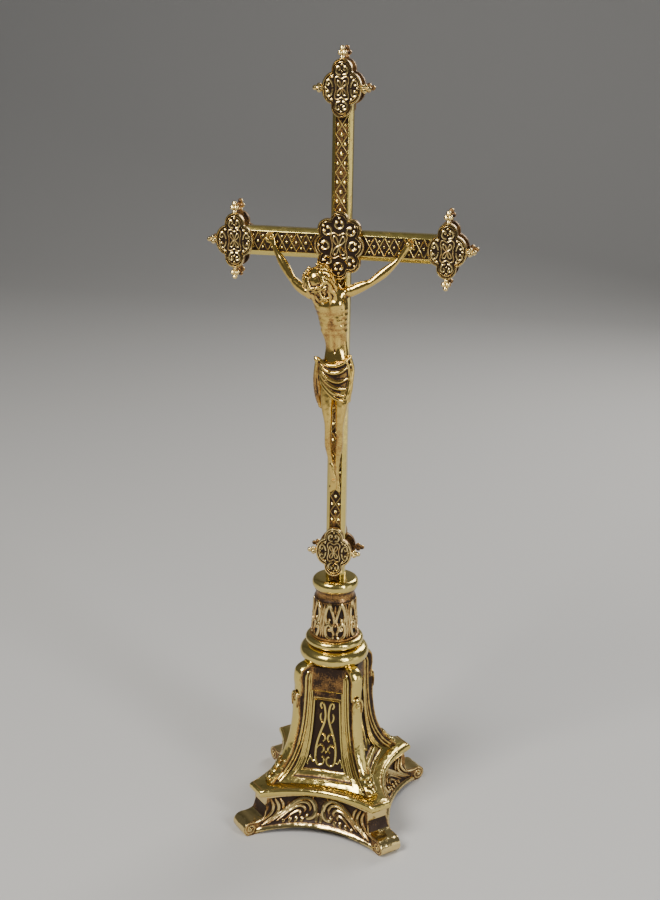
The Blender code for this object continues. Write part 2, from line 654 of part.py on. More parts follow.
def make_medallions(material):
    up, down, left, right = (0, 1), (0, -1), (-1, 0), (1, 0)
    ends = {
        "top": (0, TOP_MEDALLION, (up, left, right)),
        "left": (-ARM_MEDALLION, ARM_HEIGHT, (up, left, down)),
        "right": (ARM_MEDALLION, ARM_HEIGHT, (up, right, down)),
        "bottom": (0, LOW_MEDALLION, (left, right)),
    }
    for label, (x, z, free_sides) in ends.items():
        plate = make_end_medallion(f"medallion_{label}", x, z, free_sides, -1, material)
        add_boss(plate, x, z)
        rear = make_end_medallion(f"medallion_{label}_rear", x, z, free_sides, 1, material)
        radius = MEDALLION_SCREW + BORE_CLEARANCE
        hole = [(radius, -0.001), (radius, MEDALLION_THICKNESS + 0.001)]
        place = facing_back(x, BAR_DEPTH / 2 + GAP, z)
        combine(rear, peg(f"{rear.name} hole", hole, place=place), "DIFFERENCE")
    centre = medallion_plate("medallion_centre", 0, ARM_HEIGHT, CENTRE_WIDTH, CENTRE_HEIGHT, 8, -1, material)
    add_boss(centre, 0, ARM_HEIGHT)
    return ends


def medallion_screw(name, x, z, seat, material):
    """A pan-head screw driven from the back; its head rests at depth seat."""
    tip = -BAR_DEPTH / 2 + 0.0006
    profile = [
        (MEDALLION_SCREW, tip),
        (MEDALLION_SCREW, seat),
        (MEDALLION_SCREW_HEAD, seat),
        (MEDALLION_SCREW_HEAD, seat + MEDALLION_SCREW_HEAD_HEIGHT * 0.6),
        (MEDALLION_SCREW_HEAD * 0.7, seat + MEDALLION_SCREW_HEAD_HEIGHT),
    ]
    return peg(name, profile, material, place=facing_back(x, 0, z))


def make_medallion_screws(ends, material):
    seat = BAR_DEPTH / 2 + 2 * GAP + MEDALLION_THICKNESS - MEDALLION_RECESS
    for label, (x, z, _) in ends.items():
        medallion_screw(f"medallion_screw_{label}", x, z, seat, material)
    back = BAR_DEPTH / 2 + GAP
    bore = MEDALLION_SCREW + BORE_CLEARANCE
    rim = BOSS_RADIUS + 0.0014
    profile = [(bore, back), (rim, back), (rim, back + WASHER_THICKNESS), (bore, back + WASHER_THICKNESS)]
    place = facing_back(0, 0, ARM_HEIGHT)
    loops = [[place @ point for point in circle(r, z, 20)] for r, z in profile]
    skinned("centre_washer", loops, material, closed=True)
    medallion_screw("medallion_screw_centre", 0, ARM_HEIGHT, back + WASHER_THICKNESS + GAP, material)


# Corpus


def ball(centre, radius, steps):
    """Points spread over a sphere."""
    points = [Vector((0, 0, radius)), Vector((0, 0, -radius))]
    rows = steps // 2
    for row in range(1, rows):
        tilt = math.pi * row / rows
        points += circle(radius * math.sin(tilt), radius * math.cos(tilt), steps)
    return [Vector(centre) + point for point in points]


def add_limb(bm, start, end, start_radius, end_radius, steps=12):
    """A tapered limb with round ends, the hull of two spheres."""
    points = ball(start, start_radius, steps) + ball(end, end_radius, steps)
    made = [bm.verts.new(point * HULL_SCALE) for point in points]
    bmesh.ops.convex_hull(bm, input=made)
    bmesh.ops.delete(bm, geom=[vert for vert in made if not vert.link_faces], context="VERTS")


def fused(bm, name, material):
    """One skin over limbs that run into each other, with few enough triangles to work with."""
    bmesh.ops.scale(bm, vec=Vector((1, 1, 1)) / HULL_SCALE, verts=bm.verts)
    made = piece(name, bm, material)
    skin = made.modifiers.new("skin", "REMESH")
    skin.mode = "VOXEL"
    skin.voxel_size = CORPUS_GRAIN
    fewer = made.modifiers.new("fewer", "DECIMATE")
    fewer.ratio = CORPUS_SHARE
    return made


def make_corpus(material):
    """Arms raised to the nails, head bowed to its right, knees forward, feet crossed under one nail."""
    palm = HAND_THICKNESS * 0.85
    hand_y = BAR_FRONT - GAP - HAND_THICKNESS + palm
    feet_y = BAR_FRONT - GAP - FEET_THICKNESS / 2
    front = BAR_FRONT - GAP
    chest = front - 0.0050
    drop = HAND_HEIGHT - FEET_HEIGHT
    shoulders = HAND_HEIGHT - 0.199 * drop
    hips = HAND_HEIGHT - 0.498 * drop
    knees = HAND_HEIGHT - 0.747 * drop
    ankles = FEET_HEIGHT + 0.075 * drop
    parts = [
        ((-0.0005, chest, shoulders - 0.0080), (0.0002, chest, hips + 0.0040), 0.0062, 0.0052),
        ((-0.0035, chest, shoulders - 0.0040), (0.0035, chest, shoulders - 0.0030), 0.0055, 0.0055),
        ((-0.0040, chest, hips), (0.0048, chest, hips - 0.0005), 0.0056, 0.0054),
        ((-0.0035, chest - 0.002, shoulders), (-0.0080, chest - 0.0070, shoulders + 0.0080), 0.0040, 0.0062),
        ((-0.0025, chest - 0.003, hips - 0.003), (-0.0015, chest - 0.0032, knees), 0.0050, 0.0034),
        ((0.0030, chest - 0.002, hips - 0.003), (0.0022, chest - 0.0022, knees), 0.0050, 0.0034),
        ((-0.0015, chest - 0.0032, knees), (-0.0012, feet_y - 0.0012, ankles), 0.0034, 0.0018),
        ((0.0022, chest - 0.0022, knees), (0.0008, feet_y, ankles), 0.0034, 0.0018),
        ((-0.0005, feet_y - 0.0004, ankles), (-0.0004, feet_y, FEET_HEIGHT - 0.0060), 0.0022, 0.0019),
        ((-0.0082, chest, hips + 0.0020), (-0.0078, chest, hips - 0.0200), 0.0026, 0.0020),
    ]
    for side in (-1, 1):
        shoulder = (side * 0.0095, chest + 0.0006, shoulders + 0.0005 + side * 0.0010)
        elbow = (side * 0.646 * HAND_SPREAD, (chest + hand_y) / 2, shoulders + 0.0955 * drop)
        hand = (side * HAND_SPREAD, hand_y, HAND_HEIGHT)
        parts.append((shoulder, elbow, 0.0034, 0.0025))
        wrist = (hand[0] - side * 0.0034, hand[1] - 0.0004, hand[2] - 0.0030)
        parts.append((elbow, wrist, 0.0025, palm * 0.75))
        parts.append((wrist, hand, palm * 0.75, palm))
        parts.append((hand, (hand[0] + side * 0.0010, hand[1], hand[2] + 0.0026), palm, palm * 0.7))
        parts.append(((side * 0.0035, chest, shoulders - 0.0030), shoulder, 0.0052, 0.0036))
    bm = bmesh.new()
    for part in parts:
        add_limb(bm, *part)
    corpus = fused(bm, "corpus", material)
    reach = HAND_SPREAD + 0.01
    low = (-reach, BAR_FRONT - GAP, FEET_HEIGHT - 0.02)
    trim = box("corpus back trim", low, (reach, BAR_DEPTH, HAND_HEIGHT + 0.01))
    combine(corpus, trim, "DIFFERENCE")
    drill = NAIL + BORE_CLEARANCE
    spots = ((-HAND_SPREAD, HAND_HEIGHT), (HAND_SPREAD, HAND_HEIGHT), (0, FEET_HEIGHT))
    for number, (x, z) in enumerate(spots):
        cross_hole(corpus, x, z, drill, -0.03, 0.0, f"corpus nail hole {number}")
    return corpus


def nail(name, x, z, thickness, material):
    """A dome-headed nail through the casting and into the bar."""
    seat = -BAR_FRONT + 2 * GAP + thickness
    profile = [
        (NAIL, -BAR_FRONT - NAIL_DEPTH),
        (NAIL, seat),
        (NAIL_HEAD, seat),
        (NAIL_HEAD * 0.85, seat + NAIL_HEAD_HEIGHT * 0.6),
        (NAIL_HEAD * 0.4, seat + NAIL_HEAD_HEIGHT),
    ]
    return peg(name, profile, material, steps=12, place=facing_front(x, 0, z))


# Clamp


def make_clamp(steel):
    under = BODY_END - BODY_ROOF - GAP
    washer_base = under - CLAMP_WASHER_THICKNESS
    profile = [(ROD_BORE, washer_base), (CLAMP_WASHER, washer_base), (CLAMP_WASHER, under), (ROD_BORE, under)]
    turned("clamp_washer", profile, steel, steps=20)
    nut_top = washer_base - GAP
    nut_base = nut_top - NUT_HEIGHT
    corner = NUT_ACROSS_FLATS / math.sqrt(3)
    rings = ((ROD_BORE, nut_base), (corner, nut_base), (corner, nut_top), (ROD_BORE, nut_top))
    loops = []
    for radius, z in rings:
        steps = 18
        ring = []
        for i in range(steps):
            angle = 2 * math.pi * i / steps
            flat = math.cos(math.radians((math.degrees(angle) % 60) - 30))
            reach = radius if radius == ROD_BORE else corner * math.cos(math.radians(30)) / flat
            ring.append(Vector((reach * math.cos(angle), reach * math.sin(angle), z)))
        loops.append(ring)
    skinned("hex_nut", loops, steel, closed=True)
    rod_base = nut_base - ROD_TAIL
    rod_top = UPRIGHT_BASE + ROD_ENGAGEMENT - 0.001
    peg("tie_rod", [(ROD, rod_base), (ROD, rod_top)], steel)


def main():
    clear_scene()
    polished = finish("polished brass", (0.78, 0.60, 0.26), 0.22)
    antiqued = finish("antiqued brass", (0.42, 0.28, 0.12), 0.38)
    steel = finish("bright steel", (0.55, 0.55, 0.54), 0.35)
    make_foot_apron(antiqued)
    make_apron_screws(steel)
    make_pedestal(polished)
    make_torus_ring(polished)
    make_sleeve_base_ring(polished)
    make_filigree_sleeve(antiqued)
    make_collar(polished)
    make_cross_upright(polished)
    make_crossbar(polished)
    ends = make_medallions(antiqued)
    make_medallion_screws(ends, polished)
    make_corpus(polished)
    nail("hand_nail_left", -HAND_SPREAD, HAND_HEIGHT, HAND_THICKNESS, polished)
    nail("hand_nail_right", HAND_SPREAD, HAND_HEIGHT, HAND_THICKNESS, polished)
    nail("feet_nail", 0, FEET_HEIGHT, FEET_THICKNESS, polished)
    make_clamp(steel)


main()
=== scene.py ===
import math

import bpy
import numpy as np
from mathutils import Matrix, Vector


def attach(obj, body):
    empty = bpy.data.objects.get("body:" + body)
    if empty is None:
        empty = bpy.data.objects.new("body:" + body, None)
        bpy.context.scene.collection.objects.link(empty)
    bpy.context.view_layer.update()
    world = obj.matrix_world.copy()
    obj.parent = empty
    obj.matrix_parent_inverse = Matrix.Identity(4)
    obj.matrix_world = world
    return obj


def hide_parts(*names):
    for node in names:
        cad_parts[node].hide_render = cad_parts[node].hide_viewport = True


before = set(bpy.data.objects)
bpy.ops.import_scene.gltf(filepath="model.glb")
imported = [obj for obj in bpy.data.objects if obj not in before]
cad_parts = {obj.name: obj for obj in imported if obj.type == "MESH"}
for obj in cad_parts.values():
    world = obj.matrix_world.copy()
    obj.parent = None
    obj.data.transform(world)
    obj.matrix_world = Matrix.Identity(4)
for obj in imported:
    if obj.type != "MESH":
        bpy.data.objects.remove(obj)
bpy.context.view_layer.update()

MM = 0.001


# The studio: a pale sweep up behind the object, a wide soft box high on the left, a fill on the
# right, one behind for the edges and a weak card low on the right. The camera stands a step to the
# right and looks down on the base.
def pale_paint(name, colour):
    made = bpy.data.materials.new(name)
    made.use_nodes = True
    shader = made.node_tree.nodes["Principled BSDF"]
    shader.inputs["Base Color"].default_value = (*colour, 1)
    shader.inputs["Roughness"].default_value = 0.75
    return made


bpy.ops.mesh.primitive_plane_add(size=1, location=(0, 0, 0))
sweep = bpy.context.object
sweep.name = "sweep"
bpy.ops.object.mode_set(mode="EDIT")
bpy.ops.transform.resize(value=(8, 5, 1))
bpy.ops.mesh.select_all(action="DESELECT")
bpy.ops.object.mode_set(mode="OBJECT")
for edge in sweep.data.edges:
    ends = [sweep.data.vertices[i] for i in edge.vertices]
    edge.select = all(end.co.y > 0 for end in ends)
bpy.ops.object.mode_set(mode="EDIT")
bpy.ops.mesh.select_mode(type="EDGE")
bpy.ops.mesh.extrude_region_move(TRANSFORM_OT_translate={"value": (0, 0, 4)})
bpy.ops.object.mode_set(mode="OBJECT")
bend = sweep.modifiers.new("sweep bend", "BEVEL")
bend.width = 1.2
bend.segments = 12
bpy.ops.object.modifier_apply(modifier=bend.name)
bpy.ops.object.shade_smooth()
hair_below_the_feet = -0.00002
sweep.location = (0, 0, hair_below_the_feet)
sweep.data.materials.append(pale_paint("pale sweep paint", (0.54, 0.532, 0.515)))


def soft_box(name, place, aim, width, height, power, colour):
    bpy.ops.object.light_add(type="AREA", location=place)
    box = bpy.context.object
    box.name = name
    box.data.shape = "RECTANGLE"
    box.data.size = width
    box.data.size_y = height
    box.data.energy = power
    box.data.color = colour
    box.rotation_euler = (Vector(aim) - Vector(place)).to_track_quat("-Z", "Y").to_euler()


soft_box("key box", (-0.5, -0.8, 1.15), (0, 0, 0.2), 0.5, 0.6, 20, (1.0, 0.97, 0.92))
soft_box("fill box", (0.85, -0.6, 0.6), (0, 0, 0.2), 0.22, 0.7, 7, (0.97, 0.98, 1.0))
soft_box("edge box", (0.45, 0.9, 0.8), (0, 0, 0.22), 0.5, 0.6, 8, (1.0, 0.98, 0.95))
soft_box("side card", (0.8, -0.05, 0.14), (0, 0, 0.25), 0.35, 0.5, 0.55, (1.0, 0.98, 0.92))
room = bpy.data.worlds.new("room")
bpy.context.scene.world = room
room.use_nodes = True
glow = room.node_tree.nodes["Background"].inputs
glow["Color"].default_value = (0.55, 0.56, 0.58, 1)
glow["Strength"].default_value = 0.2

camera_data = bpy.data.cameras.new("camera")
camera_data.sensor_width = 36
camera_data.lens = 53.14
camera = bpy.data.objects.new("camera", camera_data)
bpy.context.scene.collection.objects.link(camera)
bpy.context.scene.camera = camera
camera_aim = Vector((-0.2112, 0.9271, -0.3096)).normalized()
camera_right = Vector((0.9738, 0.2269, 0.0151)).normalized()
camera_up = camera_right.cross(camera_aim)
camera.matrix_world = Matrix.Translation((0.1380, -0.6233, 0.4121)) @ Matrix(
    (camera_right, camera_up, -camera_aim)
).transposed().to_4x4()


# The foot apron: one brass casting, a hollow-sided skirt on four scroll feet. Acanthus scrolls
# stand on its sides, rubbed bright over a brown ground. Four screws hold it under the plate.
class Wire:
    """A value inside a finish. Sums and products of wires add their maths nodes."""

    def __init__(self, finish, socket):
        self.finish = finish
        self.socket = socket

    def maths(self, operation, *values):
        return self.finish.node("ShaderNodeMath", {"operation": operation}, *values)

    def __add__(self, other):
        return self.maths("ADD", self, other)

    def __sub__(self, other):
        return self.maths("SUBTRACT", self, other)

    def __rsub__(self, other):
        return self.maths("SUBTRACT", other, self)

    def __mul__(self, other):
        return self.maths("MULTIPLY", self, other)

    def clipped(self):
        return self.finish.node("ShaderNodeClamp", {}, self, 0.0, 1.0)


class Finish:
    """A Principled material whose nodes are added one call at a time."""

    def __init__(self, name):
        self.material = bpy.data.materials.new(name)
        self.material.use_nodes = True
        self.tree = self.material.node_tree
        self.shader = self.tree.nodes["Principled BSDF"]

    def feed(self, socket, value):
        if isinstance(value, Wire):
            self.tree.links.new(value.socket, socket)
        else:
            socket.default_value = value

    def node(self, kind, settings, *values, out=0, **named):
        made = self.tree.nodes.new(kind)
        for key, value in settings.items():
            setattr(made, key, value)
        for socket, value in zip(made.inputs, values):
            if value is not None:
                self.feed(socket, value)
        for key, value in named.items():
            self.feed(made.inputs[key], value)
        return Wire(self, made.outputs[out])

    def mixed(self, share, low, high):
        """A blend of two colours, which are the mix node's seventh and eighth inputs."""
        return self.node("ShaderNodeMix", {"data_type": "RGBA"}, share, *[None] * 5, low, high, out=2)

    def shade(self, **inputs):
        """Feeds the shader. An underscore in a name stands for a space."""
        for key, value in inputs.items():
            self.feed(self.shader.inputs[key.replace("_", " ")], value)


def brass(name, bright, shade, polish=0.16, dull=0.5, worn=True, lift=0.0, stipple=0.00008,
          amber=(0.36, 0.185, 0.055), waviness=0.0004):
    """Brass with a brown patina. The attribute read here holds rubbing and patina, 0 in a recess and 1 on a rubbed
    edge; on the corpus and the collar's neck its low values are also painted shade.

    Polish and dull are its two roughnesses. Stipple and waviness are bump heights in metres.
    """
    finish = Finish(name)
    place = finish.node("ShaderNodeTexCoord", {}, out="Object")
    clouds = finish.node("ShaderNodeTexNoise", {}, place, Scale=190.0, Detail=3.0)
    grains = finish.node("ShaderNodeTexNoise", {}, place, Scale=1500.0, Detail=2.0)
    smears = finish.node("ShaderNodeTexNoise", {}, place, Scale=55.0, Detail=2.0)
    if worn:
        wear_and_shade = finish.node("ShaderNodeAttribute", {"attribute_name": "wear_and_shade"}, out="Fac")
    else:
        wear_and_shade = clouds * 0.0 + 0.9
    # bright where rubbed, dark in the patina, and darker where the attribute carries painted shade
    rubbed_and_lit = ((wear_and_shade + lift) * 1.6 + (clouds - 0.5) * 1.3 + (grains - 0.5) * 1.3 - 0.32).clipped()
    tone = (smears - 0.5) * 1.1 + 0.5
    olive = tuple(c * k for c, k in zip(bright, (0.86, 0.88, 0.80)))
    metal = finish.mixed(tone.clipped(), (*olive, 1), (*bright, 1))
    brown = finish.mixed((rubbed_and_lit * 2.2).clipped(), (*shade, 1), (*amber, 1))
    colour = finish.mixed((rubbed_and_lit * 1.8 - 0.8).clipped(), brown, metal)
    rough = dull - rubbed_and_lit * (dull - polish) + (clouds - 0.5) * 0.10 + (grains - 0.5) * 0.06
    finish.shade(Base_Color=colour, Roughness=rough.clipped(), Metallic=(rubbed_and_lit * 0.45 + 0.55).clipped())
    grit = (grains - 0.5) * (1.15 - rubbed_and_lit)
    bump = finish.node("ShaderNodeBump", {}, Strength=0.6, Distance=stipple, Height=grit)
    waves = finish.node("ShaderNodeTexNoise", {}, place, Scale=260.0, Detail=1.0)
    worked = finish.node("ShaderNodeBump", {}, Strength=1.0, Distance=waviness, Height=waves, Normal=bump)
    finish.shade(Normal=worked)
    return finish.material


def eased(points, closed=False, steps=7):
    """A smooth run through the given points."""
    p = np.array(points, float)
    p = np.vstack([p[-1], p, p[:2]]) if closed else np.vstack([2 * p[0] - p[1], p, 2 * p[-1] - p[-2]])
    t = np.linspace(0, 1, steps, endpoint=False)[:, None]
    runs = []
    for a, b, c, d in zip(p, p[1:], p[2:], p[3:]):
        cubic = (3 * b - a - 3 * c + d) * t**3
        runs.append(0.5 * (2 * b + (c - a) * t + (2 * a - 5 * b + 4 * c - d) * t**2 + cubic))
    return np.vstack(runs if closed else runs + [p[-2][None]])


def line(points, thick, closed=False, taper=0.45, steps=7):
    """A wire through points, thick in the middle and thinner at its ends. Millimetres."""
    run = eased(points, closed, steps)
    share = np.linspace(0, 1, len(run))
    widths = thick * (taper + (1 - taper) * np.sin(np.pi * share) ** 0.6)
    return run, np.full(len(run), thick) if closed else widths, closed


def bead(x, z, radius):
    """A round grain."""
    share = np.linspace(-1, 1, 9)
    run = np.column_stack([x + radius * share, np.full(9, z)])
    return run, radius * np.sqrt(np.maximum(1 - share**2, 0.01)), False


def volute(x, z, radius, start, turns, thick, close=0.25):
    """A spiral wire that starts at an angle in degrees and winds in to a bead."""
    steps = int(16 * abs(turns)) + 2
    angle = np.radians(start) + np.linspace(0, 2 * np.pi * turns, steps)
    reach = radius * (1 - (1 - close) * np.linspace(0, 1, steps))
    run = np.column_stack([x + reach * np.cos(angle), z + reach * np.sin(angle)])
    return run, thick * np.linspace(0.75, 1, steps), False


def scaled(lines, across=1, up=1, thick=1):
    """The same wires stretched or flipped, their widths multiplied by thick."""
    return [(run * (across, up), np.asarray(widths) * thick, closed) for run, widths, closed in lines]


def mirrored(lines):
    """The wires and the same again on the other side of the middle."""
    return lines + scaled(lines, across=-1)


def chosen(*pieces):
    """Selects only these pieces and makes the first one active."""
    bpy.ops.object.select_all(action="DESELECT")
    for piece in pieces:
        piece.select_set(True)
    bpy.context.view_layer.objects.active = pieces[0]


def placed(name, data):
    """A new object for a mesh or a curve, selected and active."""
    made = bpy.data.objects.new(name, data)
    bpy.context.scene.collection.objects.link(made)
    chosen(made)
    return made


def drawn(name, lines, sink=0.0, fineness=2):
    """Wires laid on a flat sheet, x across and z up, standing out of it towards -y. One mesh."""
    wires = bpy.data.curves.new(name, "CURVE")
    wires.dimensions = "3D"
    wires.bevel_depth = MM
    wires.bevel_resolution = fineness
    wires.use_fill_caps = True
    for run, widths, closed in lines:
        spline = wires.splines.new("POLY")
        spline.points.add(len(run) - 1)
        one = np.ones(len(run))
        flat = np.column_stack([run[:, 0] * MM, one * sink * MM, run[:, 1] * MM, one])
        spline.points.foreach_set("co", flat.ravel())
        spline.points.foreach_set("radius", np.asarray(widths, float))
        spline.use_cyclic_u = closed
    placed(name, wires)
    bpy.ops.object.convert(target="MESH")
    return bpy.context.object


def points_of(piece, kind="co"):
    """The places of a piece's vertices, or with kind "normal" their directions."""
    points = np.empty(len(piece.data.vertices) * 3, np.float32)
    piece.data.vertices.foreach_get(kind, points)
    return points.reshape(-1, 3).astype(float)


def put_points(piece, points):
    piece.data.vertices.foreach_set("co", points.astype(np.float32).ravel())
    piece.data.update()


def set_wear_and_shade(piece, values):
    made = piece.data.attributes.get("wear_and_shade") or piece.data.attributes.new("wear_and_shade", "FLOAT", "POINT")
    made.data.foreach_set("value", np.clip(values, 0, 1).astype(np.float32))


def wear_by_height(piece, low, high, floor=0.0):
    """Rubs what stands out of the flat sheet: low and high are heights in millimetres."""
    height = -points_of(piece)[:, 1] / MM
    set_wear_and_shade(piece, floor + (1 - floor) * (height - low) / (high - low))


def pressed(piece, surface):
    """Moves a flat relief onto a surface: surface(across, up) gives points, in millimetres."""
    flat = points_of(piece) / MM
    u, h, v = flat[:, 0], -flat[:, 1], flat[:, 2]
    step = 0.05
    along = (surface(u + step, v) - surface(u - step, v)) / (2 * step)
    upward = (surface(u, v + step) - surface(u, v - step)) / (2 * step)
    normal = np.cross(along, upward)
    normal /= np.linalg.norm(normal, axis=1)[:, None]
    put_points(piece, (surface(u, v) + h[:, None] * normal) * MM)


def skin(name, rows, closed_rows=False, closed_around=True, wear_and_shade=None):
    """A mesh over rows of points in millimetres, with its ends capped where the rows don't meet.

    Wear has one value for each row, or a row of values for each.
    """
    count = len(rows[0])
    vertices = np.vstack(rows) * MM
    faces = []
    for j in range(len(rows) - (not closed_rows)):
        a, b = j * count, (j + 1) % len(rows) * count
        for i in range(count - (not closed_around)):
            k = (i + 1) % count
            faces.append((a + i, a + k, b + k, b + i))
    if not closed_rows and closed_around:
        faces += [range(count)[::-1], range(len(vertices) - count, len(vertices))]
    mesh = bpy.data.meshes.new(name)
    mesh.from_pydata(vertices.tolist(), [], [tuple(face) for face in faces])
    made = placed(name, mesh)
    bpy.ops.object.mode_set(mode="EDIT")
    bpy.ops.mesh.select_all(action="SELECT")
    bpy.ops.mesh.normals_make_consistent(inside=False)
    bpy.ops.object.mode_set(mode="OBJECT")
    if wear_and_shade is not None:
        values = np.ravel(wear_and_shade)
        set_wear_and_shade(made, np.repeat(values, len(vertices) // len(values)))
    return made


def joined(name, pieces):
    chosen(*pieces)
    bpy.ops.object.join()
    made = bpy.context.object
    made.name = name
    made.data.name = name
    return made


def turned_copies(piece, count, first=0.0):
    """The piece and its copies, each with its own mesh, evenly round the axis."""
    copies = [piece] + [bpy.data.objects.new(piece.name, piece.data.copy()) for _ in range(count - 1)]
    for copy in copies[1:]:
        bpy.context.scene.collection.objects.link(copy)
    for i, copy in enumerate(copies):
        copy.data.transform(Matrix.Rotation(math.radians(first + 360 * i / count), 4, "Z"))
    return copies


def finished(piece, body, material, replaces, angle=38):
    """Smooths a piece, gives it its finish and lets it ride on its body."""
    chosen(piece)
    bpy.ops.object.shade_smooth_by_angle(angle=math.radians(angle))
    piece.data.materials.clear()
    piece.data.materials.append(material)
    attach(piece, body)
    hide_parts(*replaces)


def plan(side, corner, sagitta, z, arch=0.0, steps=24):
    """A four-sided outline with hollow sides and cut corners. Arch lifts the middle of a side."""
    share = np.linspace(-1, 1, steps + 1)
    bulge = 1 - share**2
    one = np.column_stack([share * corner, -side + sagitta * bulge, z + arch * bulge])
    sides = []
    x, y, height = one.T
    for c, s in ((1, 0), (0, 1), (-1, 0), (0, -1)):
        sides.append(np.column_stack([c * x - s * y, s * x + c * y, height]))
    return np.vstack(sides)


skirt_top, skirt_fall, skirt_arch = 20.6, 19.4, 3.0


def skirt_section(share, inset=0.0):
    side = 35.0 + 5.5 * share**2 - inset
    corner = 27.2 + 4.4 * share**2 - inset * 0.5
    return side, corner, 8.2 - 1.0 * share**2


# how far down the side, how far out, and the wear: down the outside, under the rim and up inside
skirt_steps = (
    (0.0, 0.0, 0.8), (0.035, 0.3, 1.0), (0.075, 0.3, 0.8), (0.085, -0.3, 0.0), (0.2, -0.3, 0.1),
    (0.35, -0.2, 0.12), (0.5, -0.1, 0.1), (0.65, 0.0, 0.08), (0.8, 0.0, 0.06), (0.87, 0.0, 0.04),
    (0.90, 0.5, 0.95), (0.95, 0.8, 1.0), (1.0, 0.5, 0.9), (1.0, -0.6, 0.4), (1.0, -2.6, 0.1), (0.6, -3.2, 0.0),
    (0.16, -3.2, 0.0), (0.16, -9.0, 0.0), (0.0, -9.0, 0.0),
)
skirt_rows = [plan(*skirt_section(share, -out), skirt_top - skirt_fall * share, skirt_arch * share)
              for share, out, _ in skirt_steps]
skirt = skin("skirt", skirt_rows, closed_rows=True, wear_and_shade=[wear_and_shade for *_, wear_and_shade in skirt_steps])


def skirt_side(u, v):
    """The front of the skirt: across runs from -28 to 28 and up from 0 to 19.4."""
    share = 1 - v / skirt_fall
    across = u / 28
    side, corner, sagitta = skirt_section(share)
    bulge = 1 - across**2
    height = skirt_top - skirt_fall * share + skirt_arch * share * bulge
    return np.column_stack([across * corner, -side + sagitta * bulge, height])


half_scrolls = [
    line([
        (27, 3.4), (22, 6.8), (16, 12.2), (11, 16.0), (6.6, 16.6), (3.4, 14.0), (2.0, 9.5), (3.0, 5.6), (5.6, 4.6),
        (6.9, 6.6)
    ], 1.05, taper=0.4),
    line([(24.5, 3.4), (18.5, 8.2), (14, 12.4), (10.2, 14.2), (6.8, 13.6), (5.0, 10.8), (5.2, 8.4)], 0.75, taper=0.3),
    line([(20.5, 4.2), (16.0, 8.8), (12.0, 11.6), (9.0, 11.4), (7.6, 9.6), (8.0, 7.8)], 0.7, taper=0.3),
    line([(17.0, 4.0), (13.8, 7.4), (11.2, 8.8), (9.8, 7.6), (10.0, 6.0)], 0.6, taper=0.3),
    line([(8.6, 2.7), (8.2, 4.4), (9.2, 5.4)], 0.75), line([(11.4, 2.7), (11.2, 4.6), (12.0, 5.8)], 0.75),
    line([(14.2, 2.7), (14.2, 4.4), (15.0, 5.6)], 0.7), line([(17.0, 2.8), (17.2, 3.8), (18.0, 4.8)], 0.6),
    line([(1.0, 2.6), (1.2, 5.0), (0.4, 8.0)], 0.7),
    line([(24.0, 17.4), (21.5, 12.0), (22.5, 7.5), (26.6, 4.6)], 0.75, taper=0.35),
    line([(26.2, 17.6), (24.3, 12.6), (25.0, 8.6), (27.8, 5.6)], 0.7, taper=0.35),
    line([(21.6, 17.2), (19.6, 13.6), (19.3, 10.6)], 0.6, taper=0.3), bead(6.2, 6.3, 0.95), bead(4.0, 17.2, 0.5),
]
scrolls = drawn("apron scrolls", mirrored(scaled(half_scrolls, thick=1.3)), sink=-0.15)
wear_by_height(scrolls, -0.1, 1.15)
pressed(scrolls, skirt_side)

leg_profile = eased([
    (41.0, 19.6), (43.9, 19.6), (44.4, 15.0), (44.9, 11.2), (46.6, 8.9), (50.0, 8.2), (53.6, 8.3)
], steps=4)
roll_reach, roll_radius = 54.1, 4.1
roll_angles = np.radians(range(80, -91, -17))
roll = [(roll_reach + roll_radius * math.cos(a), roll_radius + roll_radius * math.sin(a)) for a in roll_angles]
leg_profile = np.vstack([leg_profile, roll, [(46.0, 0.0), (42.6, 2.2), (41.0, 5.4)]])
leg_steps = ((6.0, 0.5, 0.35), (5.9, 0.15, 0.9), (5.4, 0.0, 1.0))
leg_steps = [(-across, *rest) for across, *rest in leg_steps] + [*leg_steps[::-1]]
leg_rows = []
for across, shrink, _ in leg_steps:
    centre = leg_profile.mean(0)
    ring = centre + (leg_profile - centre) * (1 - shrink / 12)
    leg_rows.append(np.column_stack([ring[:, 0], np.full(len(ring), across), np.maximum(ring[:, 1], 0)]))
leg = skin("leg", leg_rows, wear_and_shade=[wear_and_shade for *_, wear_and_shade in leg_steps])


def volute_face(side):
    """The end face of a foot's roll, on the side -1 or 1 of the leg."""
    def surface(u, v):
        return np.column_stack([roll_reach - side * u, np.full(len(u), 5.85 * side), roll_radius + v])
    return surface


leg_parts = [leg]
for side in (-1, 1):
    tail = line([(9.5, 8.6), (8.2, 4.4), (4.4, 3.1), (0, 3.6)], 0.62)
    spiral = [volute(0, 0, 3.5, 90, 1.6, 0.62), bead(0, 0, 1.0), tail]
    curl = drawn("foot curl", scaled(spiral, across=side), sink=0.1)
    wear_by_height(curl, -0.3, 0.5)
    pressed(curl, volute_face(side))
    leg_parts.append(curl)
foot = joined("foot", leg_parts)

apron_brass = brass("rubbed apron brass", (0.84, 0.64, 0.28), (0.030, 0.015, 0.008), dull=0.5, stipple=0.00012)
apron = joined("foot_apron_casting", [skirt] + turned_copies(scrolls, 4) + turned_copies(foot, 4, first=45))
finished(apron, "base", apron_brass, replaces=("foot_apron",))


